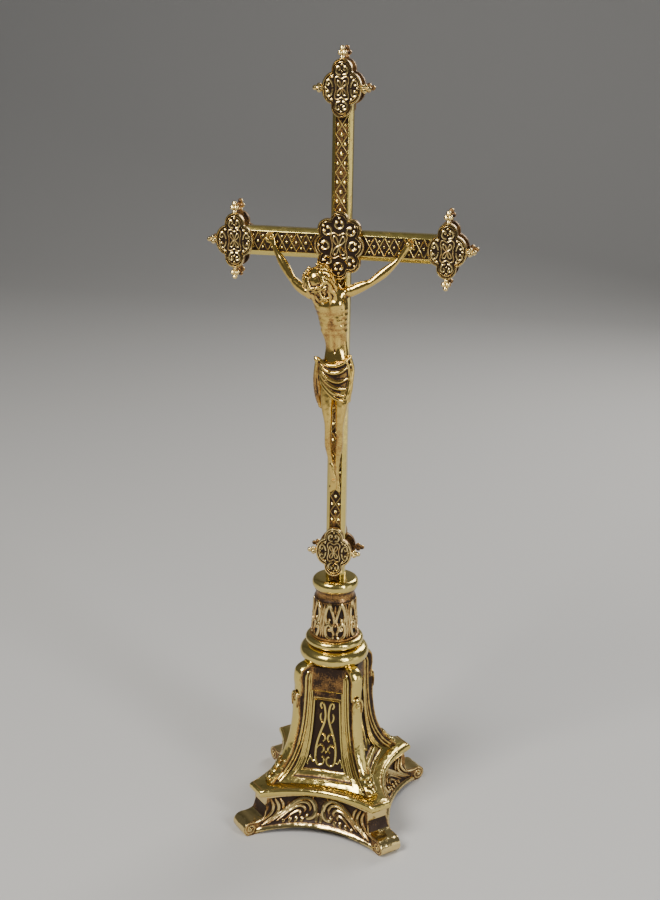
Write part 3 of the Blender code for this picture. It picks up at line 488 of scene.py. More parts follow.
# The apron screws: four short steel machine screws, driven up from below through the apron's
# flange into the plate. They show only from underneath and keep their modelled solids.
screw_steel = Finish("dull zinc steel")
screw_place = screw_steel.node("ShaderNodeTexCoord", {}, out="Object")
screw_haze = screw_steel.node("ShaderNodeTexNoise", {}, screw_place, Scale=900.0, Detail=3.0)
screw_grey = screw_steel.mixed(screw_haze, (0.30, 0.29, 0.27, 1), (0.60, 0.59, 0.56, 1))
screw_steel.shade(Base_Color=screw_grey, Roughness=screw_haze * 0.3 + 0.25, Metallic=1.0)


def refinished(material, *nodes):
    """Gives the modelled solids that stay their finish."""
    for name in nodes:
        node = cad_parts[name]
        node.data.materials.clear()
        node.data.materials.append(material)


refinished(screw_steel.material, *[f"apron_screw_{i}" for i in range(1, 5)])


# The pedestal: a hollow brass casting, a moulded plate under a flared four-sided body. Each face
# steps down to a dark stippled panel with a lyre of scrolls, and a strap runs down each corner.
plate_top, body_top = 25.1, 88.7
corner_share = 0.89
frame_depth, panel_depth = 0.55, 1.35


def body_half(z):
    return 12.8 + 16.6 / (1 + (z - plate_top) / 7.8)


def body_sagitta(z):
    return 5.0 / (1 + (z - plate_top) / 3.0)


# how far out, how high, and the wear: up the plate's edge, in over its top and down inside
plate_steps = (
    (-1.4, 20.9, 0.5), (-0.5, 20.95, 0.8), (-0.1, 21.5, 1.0), (0.0, 22.3, 1.0), (0.0, 23.0, 1.0), (-0.2, 23.7, 1.0),
    (-0.7, 24.3, 1.0), (-1.3, 24.6, 0.95), (-1.7, 24.5, 0.45), (-2.1, 24.6, 0.7), (-3.2, 25.0, 1.0), (-9.5, 25.1, 0.9),
    (-9.5, 21.6, 0.0), (-4.0, 20.9, 0.0),
)
plate_rows = [plan(38.2 + out, 30.1 + out * 0.45, 8.2, z) for out, z, _ in plate_steps]
plate = skin("plate", plate_rows, closed_rows=True, wear_and_shade=[wear_and_shade for *_, wear_and_shade in plate_steps])

frame_low, frame_high = 27.4, 75.5
panel_low, panel_high = 31.2, 70.5


def flared(z, low, high):
    """How far the body's flare has gone at a height, from 0 at high to 1 at low."""
    return (body_half(z) - body_half(high)) / (body_half(low) - body_half(high))


def frame_half(z):
    return 8.0 + 8.6 * flared(z, frame_low, frame_high)


def panel_half(z):
    return 6.8 + 5.2 * flared(z, panel_low, panel_high)


def face_point(x, z, sunk=0.0):
    """A point on the front face, from the middle across and up, sunk by so much."""
    corner = body_half(z) * corner_share
    bulge = 1 - np.minimum(np.abs(x / corner), 1) ** 2
    return np.column_stack([x, -body_half(z) + body_sagitta(z) * bulge + sunk, z])


# rows of the face: closer towards the foot, with pairs at the edges of the frame and the panel
face_heights = sorted(
    {round(plate_top + 63.6 * (i / 26) ** 1.5, 3) for i in range(27)}
    | {frame_low - 0.02, frame_low + 0.35, frame_high - 0.35, frame_high + 0.02}
    | {panel_low - 0.02, panel_low + 0.45, panel_high - 0.45, panel_high + 0.02, panel_high + 0.7, panel_high + 1.1}
)
face_rows, face_wear = [], []
for z in face_heights:
    corner = body_half(z) * corner_share
    a, b = frame_half(z), panel_half(z)
    a, b = min(a, corner * 0.93), min(b, corner * 0.75)
    half_row = [0.0, b * 0.5, b - 0.4, b, b + 0.5, (a + b) / 2, a - 0.35, a, a + 0.4, (a + corner) / 2 + 0.2, corner]
    xs = np.array([-x for x in half_row[:0:-1]] + half_row)
    framed = frame_low < z < frame_high
    panelled = panel_low < z < panel_high
    off = np.abs(xs)
    sunk = np.where(framed & (off < a - 0.2), frame_depth, 0.0)
    sunk = np.where(panelled & (off < b - 0.2), panel_depth, sunk)
    # darker towards the top of the face; above the panel it is darker still, more so near the roof
    towards_roof = np.clip((z - 40) / 36, 0, 1)
    wear_and_shade = np.full(len(xs), 0.95 - 0.6 * towards_roof)
    wear_and_shade = np.where((np.isclose(off, a - 0.35) | (off < a) & (z < frame_low + 0.4)) & framed, 0.0, wear_and_shade)
    wear_and_shade = np.where(panelled & (off < b + 0.1), 0.0, wear_and_shade)
    wear_and_shade = np.where((z > panel_high) & (off < a), 0.25 - 0.08 * np.clip((z - 80) / 8, 0, 1), wear_and_shade)
    wear_and_shade = np.where((panel_high < z < panel_high + 0.8) & (off < b + 0.6), 0.85, wear_and_shade)
    face_rows.append(face_point(xs, np.full(len(xs), z), sunk))
    face_wear.append(wear_and_shade)
face = skin("face", face_rows, closed_around=False, wear_and_shade=face_wear)
roof_bore = 2.35
roof_half = body_half(body_top)
roof_rows = [plan(roof_half, roof_half * corner_share, body_sagitta(body_top), z) for z in (body_top - 3, body_top)]
for row in roof_rows[::-1]:
    level = row[:, :2]
    bored = level / np.linalg.norm(level, axis=1)[:, None] * roof_bore
    roof_rows.append(np.column_stack([bored, row[:, 2]]))
roof = skin("roof", roof_rows, closed_rows=True, wear_and_shade=[0.3] * 4)


def closed_frame(half, low, high, thick=0.42):
    """A wire all round a panel's edge."""
    heights = np.linspace(low, high, 24)
    right = np.column_stack([half(heights), heights])
    run = np.vstack([right, right[::-1] * (-1, 1)])
    return run, np.full(len(run), thick), True


frames = [closed_frame(frame_half, frame_low, frame_high), closed_frame(panel_half, panel_low, panel_high)]
fillets = drawn("face fillets", frames, sink=0.12)
wear_by_height(fillets, -0.25, 0.25)
pressed(fillets, face_point)
side_ribs = []
for share, thick in ((0.97, 0.45), (0.86, 0.38), (0.75, 0.38), (0.64, 0.4)):
    heights = np.linspace(30, 84, 20)
    inner = frame_half(np.minimum(heights, frame_high))
    outer = body_half(heights) * corner_share
    across = inner + (outer - inner) * (share - 0.55) / 0.45 * 0.8
    side_ribs.append((np.column_stack([across, heights]), np.full(20, thick), False))
ribs = drawn("corner ribs", mirrored(side_ribs), sink=0.1)
wear_by_height(ribs, -0.25, 0.3, floor=0.1)
pressed(ribs, face_point)


def in_panel(points, thick, taper):
    """A wire given in shares of the panel's half-width and its height, of even roundness."""
    run, widths, closed = line([(100 * x, 100 * y) for x, y in points], thick, taper=taper)
    z = panel_low + (panel_high - panel_low) * run[:, 1] / 100
    return np.column_stack([run[:, 0] / 100 * panel_half(z), z]), widths, closed


lyre = [
    in_panel([
        (0.40, 0.86), (0.52, 0.90), (0.42, 0.95), (0.24, 0.91), (0.14, 0.82), (0.12, 0.73), (0.22, 0.63),
        (0.40, 0.52), (0.56, 0.38), (0.60, 0.26), (0.52, 0.13), (0.34, 0.06), (0.12, 0.08), (0.08, 0.15), (0.22, 0.17)
    ], 0.66, taper=0.8),
    in_panel([(0.20, 0.64), (0.42, 0.68), (0.50, 0.74), (0.44, 0.79)], 0.52, taper=0.6),
    in_panel([(0.55, 0.39), (0.46, 0.47), (0.24, 0.49), (0.08, 0.43), (0.20, 0.38)], 0.6, taper=0.65),
    in_panel([(0.60, 0.25), (0.50, 0.31), (0.28, 0.33), (0.12, 0.27), (0.26, 0.22)], 0.6, taper=0.65),
    in_panel([(0.50, 0.12), (0.64, 0.10), (0.82, 0.15), (0.90, 0.09), (0.82, 0.05)], 0.58, taper=0.65),
]
lyres = drawn("panel scrolls", mirrored(lyre) + [bead(0, 40.5, 0.7)])
wear_by_height(lyres, -0.25, 0.5)
pressed(lyres, lambda x, z: face_point(x, z, panel_depth))
faces = []
for part in (face, fillets, ribs, lyres):
    faces += turned_copies(part, 4)


# the corner straps, drawn in the plane of a corner: distance from the axis, then height
def along_path(path):
    """A smooth path with its arc length and its outward normals."""
    path = np.asarray(path, float)
    steps = np.linalg.norm(np.diff(path, axis=0), axis=1)
    length = np.concatenate([[0], np.cumsum(steps)])
    tangent = np.gradient(path, axis=0)
    tangent /= np.linalg.norm(tangent, axis=1)[:, None]
    normal = np.column_stack([-tangent[:, 1], tangent[:, 0]])
    return path, length, normal


def strap(name, path, widths, crowns):
    """A crowned strap along a path that runs downwards, as a closed bar."""
    path, _, normal = along_path(path)
    angles = np.radians(np.linspace(-90, 270, 17)[:-1])
    rows, wear_and_shade = [], []
    for (r, z), (nr, nz), width, crown in zip(path, normal, widths, crowns):
        across = width / 2 * np.cos(angles)
        lift = np.where(np.sin(angles) > 0, crown * np.abs(np.sin(angles)) ** 0.55, -1.6)
        rows.append(np.column_stack([r + nr * lift, across, z + nz * lift]))
        wear_and_shade.append(np.clip(0.25 + 0.95 * (lift / max(crown, 0.1)), 0, 1))
    return skin(name, rows, wear_and_shade=wear_and_shade)


shoulder = eased([(13.0, 88.6), (17.6, 88.4), (21.0, 86.4), (21.9, 82.0), (21.6, 77.0), (21.8, 72.6)], steps=8)
t = np.linspace(0, 1, len(shoulder))
upper_strap = strap("upper strap", shoulder, 7.0 - 0.8 * t, 1.5 + 0.3 * np.sin(np.pi * t))
lower_path = eased([
    (22.6, 74.6), (22.9, 71.5), (22.9, 66.0), (23.3, 58.0), (24.9, 49.0), (27.2, 42.0), (30.6, 35.5), (34.6, 30.2),
    (38.4, 26.8), (40.4, 25.4)
], steps=7)
t = np.linspace(0, 1, len(lower_path))
ends = np.minimum(1, np.minimum(t / 0.04, (1 - t) / 0.03)) ** 0.5
lower_strap = strap(
    "lower strap", lower_path, (5.4 + 1.6 * t) * (0.35 + 0.65 * ends), (1.5 - 0.3 * t) * (0.2 + 0.8 * ends)
)
before, beyond = 2 * lower_path[0] - lower_path[1], 8 * lower_path[-1] - 7 * lower_path[-2]
path, length, normal = along_path(np.vstack([before, lower_path, beyond]))


def strap_top(u, v):
    """The crown of the lower strap: across, and up along it from its foot."""
    v = length[-1] - v
    r, z = np.interp(v, length, path[:, 0]), np.interp(v, length, path[:, 1])
    nr, nz = np.interp(v, length, normal[:, 0]), np.interp(v, length, normal[:, 1])
    crown = 1.3 * np.sqrt(np.maximum(1 - (u / 3.4) ** 2, 0.02))
    return np.column_stack([r + nr * crown, u, z + nz * crown])


top = length[-1] - length[1]
curls = [
    line([
        (-2.2, top - 8.5), (-2.5, top - 4.5), (-1.5, top - 1.3), (0, top - 0.5), (1.5, top - 1.3), (2.5, top - 4.5),
        (2.2, top - 8.5)
    ], 0.85, taper=0.4),
    line([(1.1, top - 3.0), (0, top - 2.2), (-1.0, top - 3.4), (-0.4, top - 5.0), (0.7, top - 4.6)], 0.62, taper=0.7),
]
for foot_up, reach in ((4.7, 2.5), (8.9, 2.8), (13.1, 2.4)):
    leaf = [(reach, 3.6), (reach - 0.3, 1.0), (0.9, -0.8), (0, 0.6)]
    leaf = [(-x, foot_up + y) for x, y in leaf] + [(x, foot_up + y) for x, y in leaf[2::-1]]
    curls.append(line(leaf, 1.1, taper=0.5))
    curls += [bead(x, foot_up + y, size) for x, y, size in ((-reach, 3.9, 0.95), (reach, 3.9, 0.95), (0, 2.6, 0.9))]
strap_curls = drawn("strap curls", curls, sink=-0.2)
wear_by_height(strap_curls, -0.2, 1.1)
pressed(strap_curls, strap_top)
web_path = eased([
    (14.0, 88.0), (18.4, 87.2), (20.9, 84.6), (21.3, 80), (22.3, 72), (22.9, 62), (24.3, 52), (26.4, 43.6),
    (29.6, 36.8), (33.4, 31.4), (37.4, 27.4), (39.0, 25.6)
], steps=6)
half_web = [(3.9, -7.5), (3.7, -4.6), (3.4, -2.4), (3.0, -1.0)]
web_section = [(-across, lift) for across, lift in half_web] + half_web[::-1]
web_rows = []
for (r, z), (nr, nz) in zip(*along_path(web_path)[::2]):
    web_rows.append([(r + nr * lift, across, max(z + nz * lift, 24.0)) for across, lift in web_section])
web = skin("web", web_rows, wear_and_shade=[[0.1, 0.1, 0.2, 0.1, 0.1, 0.2, 0.1, 0.1]] * len(web_rows))
corner_parts = [upper_strap, lower_strap, strap_curls, web]
rib_path = eased([
    (14.5, 87.6), (18.6, 86.9), (20.4, 83.5), (20.6, 77), (21.0, 69), (21.9, 59), (23.6, 50), (26.0, 43),
    (29.4, 36.5), (33.4, 31.4), (37.0, 28.2)
], steps=6)
angles = np.radians(np.linspace(0, 360, 9)[:-1])
rib_wear = np.clip(0.55 + 0.5 * np.sin(angles), 0, 1)
for lateral, out, thick in ((3.4, -1.5, 0.5), (3.8, -3.2, 0.42)):
    lift = out + thick * 1.5 * np.sin(angles)
    for side in (-1, 1):
        across = side * lateral + thick * np.cos(angles)
        rows = [np.column_stack([r + nr * lift, across, z + nz * lift])
                for (r, z), (nr, nz) in zip(*along_path(rib_path)[::2])]
        corner_parts.append(skin("strap rib", rows, wear_and_shade=[rib_wear] * len(rows)))
corners = turned_copies(joined("corner strap", corner_parts), 4, first=45)

pedestal_brass = brass("polished pedestal brass", (0.85, 0.66, 0.21), (0.030, 0.015, 0.008), dull=0.5, stipple=0.00012)
pedestal = joined("pedestal_casting", [plate, roof] + faces + corners)
finished(pedestal, "base", pedestal_brass, replaces=("pedestal",))


# The torus ring: turned from brass bar and polished. It seats in the pedestal's roof, and the
# register on its top is what the upper pieces turn on when the clamp is slack.
def spun(name, profile, wear_and_shade_values, steps=96):
    """Turns a closed profile of (radius, height) about the axis. Wear and painted shade values are given per corner."""
    mesh = bpy.data.meshes.new(name)
    corners = [(r * MM, 0, z * MM) for r, z in profile]
    mesh.from_pydata(corners, [(i, (i + 1) % len(corners)) for i in range(len(corners))], [])
    made = placed(name, mesh)
    set_wear_and_shade(made, wear_and_shade_values)
    bpy.ops.object.mode_set(mode="EDIT")
    bpy.ops.mesh.select_all(action="SELECT")
    bpy.ops.mesh.spin(steps=steps, angle=2 * math.pi, center=(0, 0, 0), axis=(0, 0, 1), use_auto_merge=False)
    bpy.ops.mesh.select_all(action="SELECT")
    bpy.ops.mesh.remove_doubles(threshold=0.005 * MM)
    bpy.ops.mesh.normals_make_consistent(inside=False)
    bpy.ops.object.mode_set(mode="OBJECT")
    return made


def half_round(inner, outer, low, high, steps=14):
    """Corners of a half-round moulding from its low to its high edge."""
    middle, half = (low + high) / 2, (high - low) / 2
    angles = np.radians(np.linspace(-88, 88, steps))
    return [(inner + (outer - inner) * math.cos(a), middle + half * math.sin(a)) for a in angles]


torus_profile = [(2.3, 88.9), (6.0, 88.9), (6.1, 89.0), (11.0, 89.05)] + half_round(13.6, 18.2, 89.1, 97.7)
torus_profile += [(12.6, 97.75), (10.0, 97.8), (10.0, 99.3), (2.3, 99.3)]
torus_wear = [0, 0, 0.1, 0.15] + [0.55] + [1.0] * 12 + [0.6] + [0.1, 0.1, 0, 0]
torus = spun("torus_turning", torus_profile, torus_wear)
turned_brass = brass(
    "turned polished brass", (0.86, 0.67, 0.22), (0.04, 0.02, 0.01), polish=0.18, dull=0.42, stipple=0.00004,
    waviness=0.0002
)
finished(torus, "base", turned_brass, replaces=("torus_ring",), angle=50)


# The sleeve-base ring: the smaller polished ring above. It turns on the torus's register, with a
# dark line of old polish in the joint between the two.
base_ring_profile = [(2.3, 100.1), (10.3, 100.1), (10.3, 98.1), (12.6, 98.1)] + half_round(12.9, 15.3, 98.4, 103.0)
base_ring_profile += [(12.4, 103.1), (8.5, 103.1), (8.5, 104.7), (2.3, 104.7)]
base_ring_wear = [0, 0, 0, 0.05] + [0.4] + [1.0] * 12 + [0.5] + [0.25, 0, 0, 0]
base_ring = spun("sleeve_base_turning", base_ring_profile, base_ring_wear)
finished(base_ring, "cross", turned_brass, replaces=("sleeve_base_ring",), angle=50)


# The filigree sleeve: a cast brass tube with leaf loops and curls standing on a dark ground. It
# is slipped over the spigots of the ring below and the collar above, and clamped between them.
sleeve_low, sleeve_high = 103.4, 124.0
sleeve_core = spun("sleeve core", [
    (8.8, sleeve_low), (12.7, sleeve_low), (12.8, sleeve_low + 0.8), (11.6, sleeve_low + 1.4),
    (10.4, sleeve_high - 1.2), (10.9, sleeve_high - 0.6), (10.8, sleeve_high), (8.8, sleeve_high)
], [0, 0.45, 0.5, 0.0, 0.0, 0.3, 0.3, 0],)


def sleeve_wall(u, v):
    """The sleeve unrolled: across is measured at a radius of 12, up from its foot."""
    angle = u / 12 - math.pi / 2
    reach = 11.75 - 0.065 * v
    return np.column_stack([reach * np.cos(angle), reach * np.sin(angle), sleeve_low + 0.2 + 1.03 * v])


half_motif = [
    line([
        (0.5, 9.4), (0.9, 12.6), (2.4, 17.2), (3.5, 19.2), (5.0, 16.6), (5.7, 13.2), (5.2, 10.4), (4.3, 9.2),
        (3.3, 10.2)
    ], 0.82, taper=0.6),
    line([
        (0.8, 2.2), (2.0, 1.0), (4.2, 1.6), (5.4, 4.4), (5.1, 7.4), (3.6, 8.7), (2.2, 7.6), (2.5, 5.6), (3.7, 5.6)
    ], 0.80, taper=0.6),
    line([(0.5, 9.6), (1.5, 7.8), (1.7, 5.8), (0.9, 3.8), (1.4, 2.6)], 0.6, taper=0.6),
    line([(6.7, 1.2), (7.0, 5.6), (6.6, 9.4), (7.1, 14.0), (6.2, 19.2)], 0.62, taper=0.6), bead(3.4, 11.0, 0.85),
    bead(3.6, 5.9, 0.85),
]
motif = mirrored(scaled(half_motif, thick=1.36)) + [
    bead(0, 11.2, 0.9), bead(0, 7.9, 0.75), line([(0, 13.8), (0, 16.0), (0, 18.8)], 0.75, taper=0.2)
]
leaves = drawn("sleeve leaves", motif, sink=0.15)
wear_by_height(leaves, -0.1, 0.85)
pressed(leaves, sleeve_wall)
sleeve = joined("filigree_sleeve_casting", [sleeve_core] + turned_copies(leaves, 5, first=14))
sleeve_brass = brass("rubbed leaf brass", (0.88, 0.66, 0.28), (0.018, 0.009, 0.005), dull=0.45, lift=0.02)
finished(sleeve, "cross", sleeve_brass, replaces=("filigree_sleeve",))


# The collar: turned brass, an ovolo over a hollow neck. A socket in its top takes the foot of the
# upright, and the clamping rod passes through it.
collar_profile = [
    (2.3, 122.7), (8.4, 122.7), (8.4, 124.3), (10.7, 124.3), (10.9, 124.7), (10.6, 125.3), (10.2, 126.2),
    (10.0, 127.2), (10.1, 128.2), (10.5, 128.9)
]
collar_profile += [
    (10.9, 129.2), (10.95, 129.7), (11.5, 130.3), (11.95, 131.2), (12.1, 132.2), (12.0, 133.2), (11.6, 134.2),
    (11.0, 134.85), (10.2, 135.2), (9.2, 135.3), (2.3, 135.3)
]
# painted shade: the hollow neck under the ovolo is kept darker than its polish; the ovolo itself is rubbed bright
collar_wear_and_neck_shade = [0, 0, 0, 0.05, 0.1, 0.22, 0.32, 0.38, 0.32, 0.2, 0.3, 0.3, 0.9, 1, 1, 1, 1, 1, 1, 0.95, 0.6]
collar = spun("collar_turning", collar_profile, collar_wear_and_neck_shade)
finished(collar, "cross", turned_brass, replaces=("collar",), angle=50)


# The clamp: an M4 steel rod screwed into the foot of the upright, with a washer and a nut under
# the pedestal's roof. They keep their modelled solids.
refinished(screw_steel.material, "tie_rod", "clamp_washer", "hex_nut")


# The upright: a drawn brass bar with chamfered edges. Between fine rims its front and back carry a
# sunk band of crossed lines and grains, dark in the ground. Its foot stands in the collar's socket.
upright_low, upright_high, arm_height = 133.2, 384.5, 308.5
bar_face, band_floor = 3.5, 2.86


def bar_section(half, chamfer=2.0, rim=0.5, band=0.65, ground=0.0):
    """Corners of a bar's section and their wear: across, then depth towards the front."""
    flat = half - chamfer
    inner = flat - rim
    right = [(half, 1.5, 0.9), (flat + 0.05, bar_face - 0.08, 0.95), (flat - 0.08, bar_face, 1.0),
             (inner + 0.08, bar_face, 1.0), (inner, bar_face - 0.1, 0.6), (inner - 0.05, bar_face - band, ground)]
    front = [(half, -1.5, 0.85)] + right + [(-u, d, w) for u, d, w in right[::-1]]
    return front + [(-u, -d, w) for u, d, w in front]


def bar_run(name, section, start, end, along):
    """A length of bar between two stations, upright (along z) or level (along x)."""
    rows = []
    for station in (start, start + 0.01, end - 0.01, end):
        if along == "z":
            rows.append([(u, -d, station) for u, d, _ in section])
        else:
            rows.append([(station, -d, arm_height + u) for u, d, _ in section])
    return skin(name, rows, wear_and_shade=[[w for *_, w in section]] * len(rows))


def lattice(half, start, end, pitch, level=False, size=0.8):
    """Crossed lines over a band from start to end, a grain in each field and each side triangle."""
    count = max(1, round((end - start) / pitch))
    step = (end - start) / count
    lines = []
    for i in range(count):
        low, high = start + i * step, start + (i + 1) * step
        for sign in (-1, 1):
            lines.append((np.array([(-sign * half, low), (sign * half, high)]), np.array([0.26, 0.26]), False))
        lines += [bead(x, (low + high) / 2, size * 0.85) for x in (half * 0.62, -half * 0.62)]
        if i:
            lines.append(bead(0, low, size))
    if level:
        lines = [(run[:, ::-1] + (0, arm_height), widths, closed) for run, widths, closed in lines]
    return lines


def inlaid(name, lines, rear=False):
    """A lattice in a bar's sunk band, rubbed on its crests. The rear one is turned to the back."""
    made = drawn(name, lines, sink=-band_floor, fineness=1)
    wear_by_height(made, 2.8, 3.15)
    if rear:
        made.data.transform(Matrix.Rotation(math.pi, 4, "Z"))
    return made


upright_section = bar_section(4.9, 1.6, 0.4, ground=0.27)
lap = 7.3
lower_run = bar_run("upright lower run", upright_section, upright_low, arm_height - lap, "z")
upper_run = bar_run("upright upper run", upright_section, arm_height + lap, upright_high, "z")
rear_section = [(-4.9, -0.15, 0.5)] + upright_section[13:] + [(4.9, -1.5, 0.85), (4.9, -0.15, 0.5)]
middle_run = bar_run("upright middle run", rear_section, arm_height - lap, arm_height + lap, "z")
front_lines = lattice(2.85, 163.5, 300, 8.6, size=1.0) + lattice(2.85, 316, 369, 8.6, size=1.0)
front_lattice = inlaid("upright front lattice", front_lines)
rear_lattice = inlaid("upright rear lattice", lattice(2.85, 163.5, 369, 8.6, size=1.0), rear=True)
upright = joined("upright_bar", [lower_run, upper_run, middle_run, front_lattice, rear_lattice])
bar_brass = brass("polished bar brass", (0.82, 0.64, 0.20), (0.028, 0.014, 0.007), dull=0.5, waviness=0.00012)
finished(upright, "cross", bar_brass, replaces=("cross_upright",))


# The crossbar: the same bar in a wider size, halved over the upright's front and soldered. Its
# lattice is closer, and the plates at its ends hide the sawn ends.
crossbar_section = bar_section(7.0, ground=0.13)
bar_end, notch = 56.0, 5.2
left_run = bar_run("left run", crossbar_section, -bar_end, -notch, "x")
right_run = bar_run("right run", crossbar_section, notch, bar_end, "x")
front_section = crossbar_section[:13] + [(-7.0, 0.15, 0.5), (7.0, 0.15, 0.5)]
halved_run = bar_run("halved run", front_section, -notch, notch, "x")
level_front = inlaid("crossbar front lattice", mirrored(lattice(4.4, 12.0, 45.5, 4.75, level=True)))
level_rear = inlaid("crossbar rear lattice", mirrored(lattice(4.4, notch, 45.5, 4.75, level=True)), rear=True)
crossbar = joined("cross_bar", [left_run, right_run, halved_run, level_front, level_rear])
finished(crossbar, "cross", bar_brass, replaces=("crossbar",))


# The end medallions: cast brass plates in four-lobed outline with beaded finials, one on the front
# and one on the back of each end of the cross. Their scrolls are rubbed bright over brown.
def foil(shapes, count=168):
    """The outline round overlapping ellipses, seen from the middle. Rows of (x, z)."""
    angles = np.linspace(0, 2 * np.pi, count, endpoint=False)
    best = np.zeros(count)
    for x, z, a, b in shapes:
        c, s = np.cos(angles), np.sin(angles)
        qa = (c / a) ** 2 + (s / b) ** 2
        qb = -2 * (c * x / a**2 + s * z / b**2)
        qc = (x / a) ** 2 + (z / b) ** 2 - 1
        root = qb**2 - 4 * qa * qc
        reach = np.where(root > 0, (-qb + np.sqrt(np.maximum(root, 0))) / (2 * qa), 0)
        best = np.maximum(best, reach)
    return angles, best


def plate_of(name, shapes):
    """A plate in flat position, its back at depth 0: rounded edge, bright rim, groove, fine rim, field."""
    angles, reach = foil(shapes)
    steps = (
        (0, -0.25, 0.3), (0, 1.9, 0.7), (0.12, 2.2, 1), (0.3, 2.36, 1), (0.7, 2.36, 1), (0.85, 2.2, 0.7),
        (0.95, 1.7, 0), (1.4, 1.7, 0), (1.5, 2.05, 0.8), (1.62, 2.14, 1), (1.85, 2.14, 1), (1.98, 2.0, 0.7),
        (2.1, 1.55, 0), (2.9, 1.5, 0)
    )
    rows = []
    for inset, up, _ in steps:
        edge = reach - inset
        rows.append(np.column_stack([edge * np.cos(angles), np.full(len(angles), -up), edge * np.sin(angles)]))
    return skin(name, rows, wear_and_shade=[w for *_, w in steps])


def four_ways(lines):
    """The wires in all four quarters of a plate."""
    lines = mirrored(lines)
    return lines + scaled(lines, up=-1)


def ring_of(quarter, thick):
    """A closed wire from one quarter of its points, given from the top round to the right."""
    right = quarter + [(x, -z) for x, z in quarter[-2::-1]]
    return line(right + [(-x, z) for x, z in right[-2:0:-1]], thick, closed=True, steps=4)


def finial(direction, edge, length):
    """A stem with two beads side by side and one at its tip, pointing up or sideways."""
    tip, pair = edge + length - 1.3, edge + length - 3.3
    stem = (np.array([(0, edge - 0.8), (0, edge + 0.4), (0, tip)]), np.array([1.3, 0.8, 0.7]), False)
    parts = [stem, bead(0.95, pair, 1.3), bead(-0.95, pair, 1.3), bead(0, tip, 1.25), bead(0, edge + 0.4, 1.1)]
    turned = []
    for run, widths, closed in parts:
        x, z = run[:, 0], run[:, 1]
        places = {"up": (x, z), "down": (x, -z), "right": (z, x), "left": (-z, x)}[direction]
        turned.append((np.column_stack(places), widths, closed))
    return turned


end_shapes = [(0, 8.3, 4.75, 5.0), (0, -8.3, 4.75, 5.0), (3.9, 0, 5.55, 7.3), (-3.9, 0, 5.55, 7.3), (0, 0, 7.1, 10.2)]
end_knot = [line([(0, 0), (0.35, 1.5), (1.0, 3.0), (1.9, 3.1), (2.0, 1.9), (1.1, 0.7), (0, 0)], 0.42, taper=0.85)]
end_rim = ring_of([(0, 4.2), (1.7, 5.1), (3.0, 4.6), (3.2, 3.0), (2.75, 1.3), (2.7, 0)], 0.36)
end_scrolls = [
    line([(0.5, 6.0), (1.9, 6.3), (2.7, 7.6), (2.3, 9.2), (1.2, 9.5), (0.9, 8.5), (1.5, 7.9)], 0.58, taper=0.7),
    line([(4.2, 0.4), (4.6, 2.2), (5.6, 3.6), (6.9, 3.3), (7.2, 2.0), (6.3, 1.3), (5.7, 2.1)], 0.58, taper=0.7),
    bead(0, 10.6, 0.75),
    bead(0, 7.5, 0.55),
    bead(7.4, 0, 0.75),
    bead(4.6, 5.0, 0.7),
]
medallion_brass = brass("rubbed medallion brass", (0.86, 0.65, 0.28), (0.024, 0.012, 0.006), dull=0.5)
end_places = {"top": (0, 381.2, ("up", "left", "right")), "left": (-52, 308.5, ("up", "left", "down")),
              "right": (52, 308.5, ("up", "right", "down")), "bottom": (0, 150.8, ("left", "right"))}
plate_seat, relief_floor = 3.8, 1.62
circle = np.linspace(0, 2 * np.pi, 25)[:-1]
rear_circle = [(2.3 * np.column_stack([np.cos(circle), np.sin(circle)]), np.full(24, 0.45), True)]
for label, (x, z, free) in end_places.items():
    for rear in (False, True):
        tail = "_rear" if rear else ""
        plate = plate_of("end plate", end_shapes)
        middle = rear_circle if rear else four_ways(end_knot)
        relief = drawn("end relief", middle + [end_rim] + four_ways(end_scrolls), sink=-relief_floor)
        wear_by_height(relief, 1.5, 2.1)
        tips = []
        for direction in free:
            edge, length = (13.3, 5.75) if direction in ("up", "down") else (9.45, 4.6)
            flip = {"left": "right", "right": "left"}.get(direction, direction) if rear else direction
            tips += finial(flip, edge, length)
        beads = drawn("finials", tips, sink=-1.2)
        wear_by_height(beads, 0.3, 2.0, floor=0.35)
        medallion = joined(f"{label}_medallion{tail}", [plate, relief, beads])
        if rear:
            medallion.data.transform(Matrix.Rotation(math.pi, 4, "Z"))
        seat = plate_seat if rear else -plate_seat
        medallion.data.transform(Matrix.Translation((x * MM, seat * MM, z * MM)))
        finished(medallion, "cross", medallion_brass, replaces=(f"medallion_{label}{tail}",))


# The centre medallion: an eight-lobed plate of the same casting family. It covers the halved joint
# and is held by one screw through the crossing.
centre_shapes = [(0, 12.3, 4.3, 4.2), (0, -12.3, 4.3, 4.2), (7.4, 0, 4.8, 5.4), (-7.4, 0, 4.8, 5.4), (0, 0, 10.4, 14.0)]
centre_shapes += [(sx * 6.0, sz * 7.9, 4.6, 4.9) for sx in (-1, 1) for sz in (-1, 1)]
centre_plate = plate_of("centre plate", centre_shapes)
centre_lines = four_ways(
    [line([(0, 0), (0.45, 2.0), (1.4, 4.1), (2.6, 4.2), (2.8, 2.6), (1.5, 0.9), (0, 0)], 0.5, taper=0.85)]
)
centre_lines.append(ring_of([(0, 5.0), (1.8, 5.9), (3.4, 5.7), (4.0, 4.2), (3.5, 2.2), (3.2, 0)], 0.42))
curl_places = (
    (0, 10.2, 90), (0, -10.2, -90), (6.9, 0, 0), (-6.9, 0, 180), (5.7, 7.1, 48), (-5.7, 7.1, 132), (5.7, -7.1, -48),
    (-5.7, -7.1, -132),
)
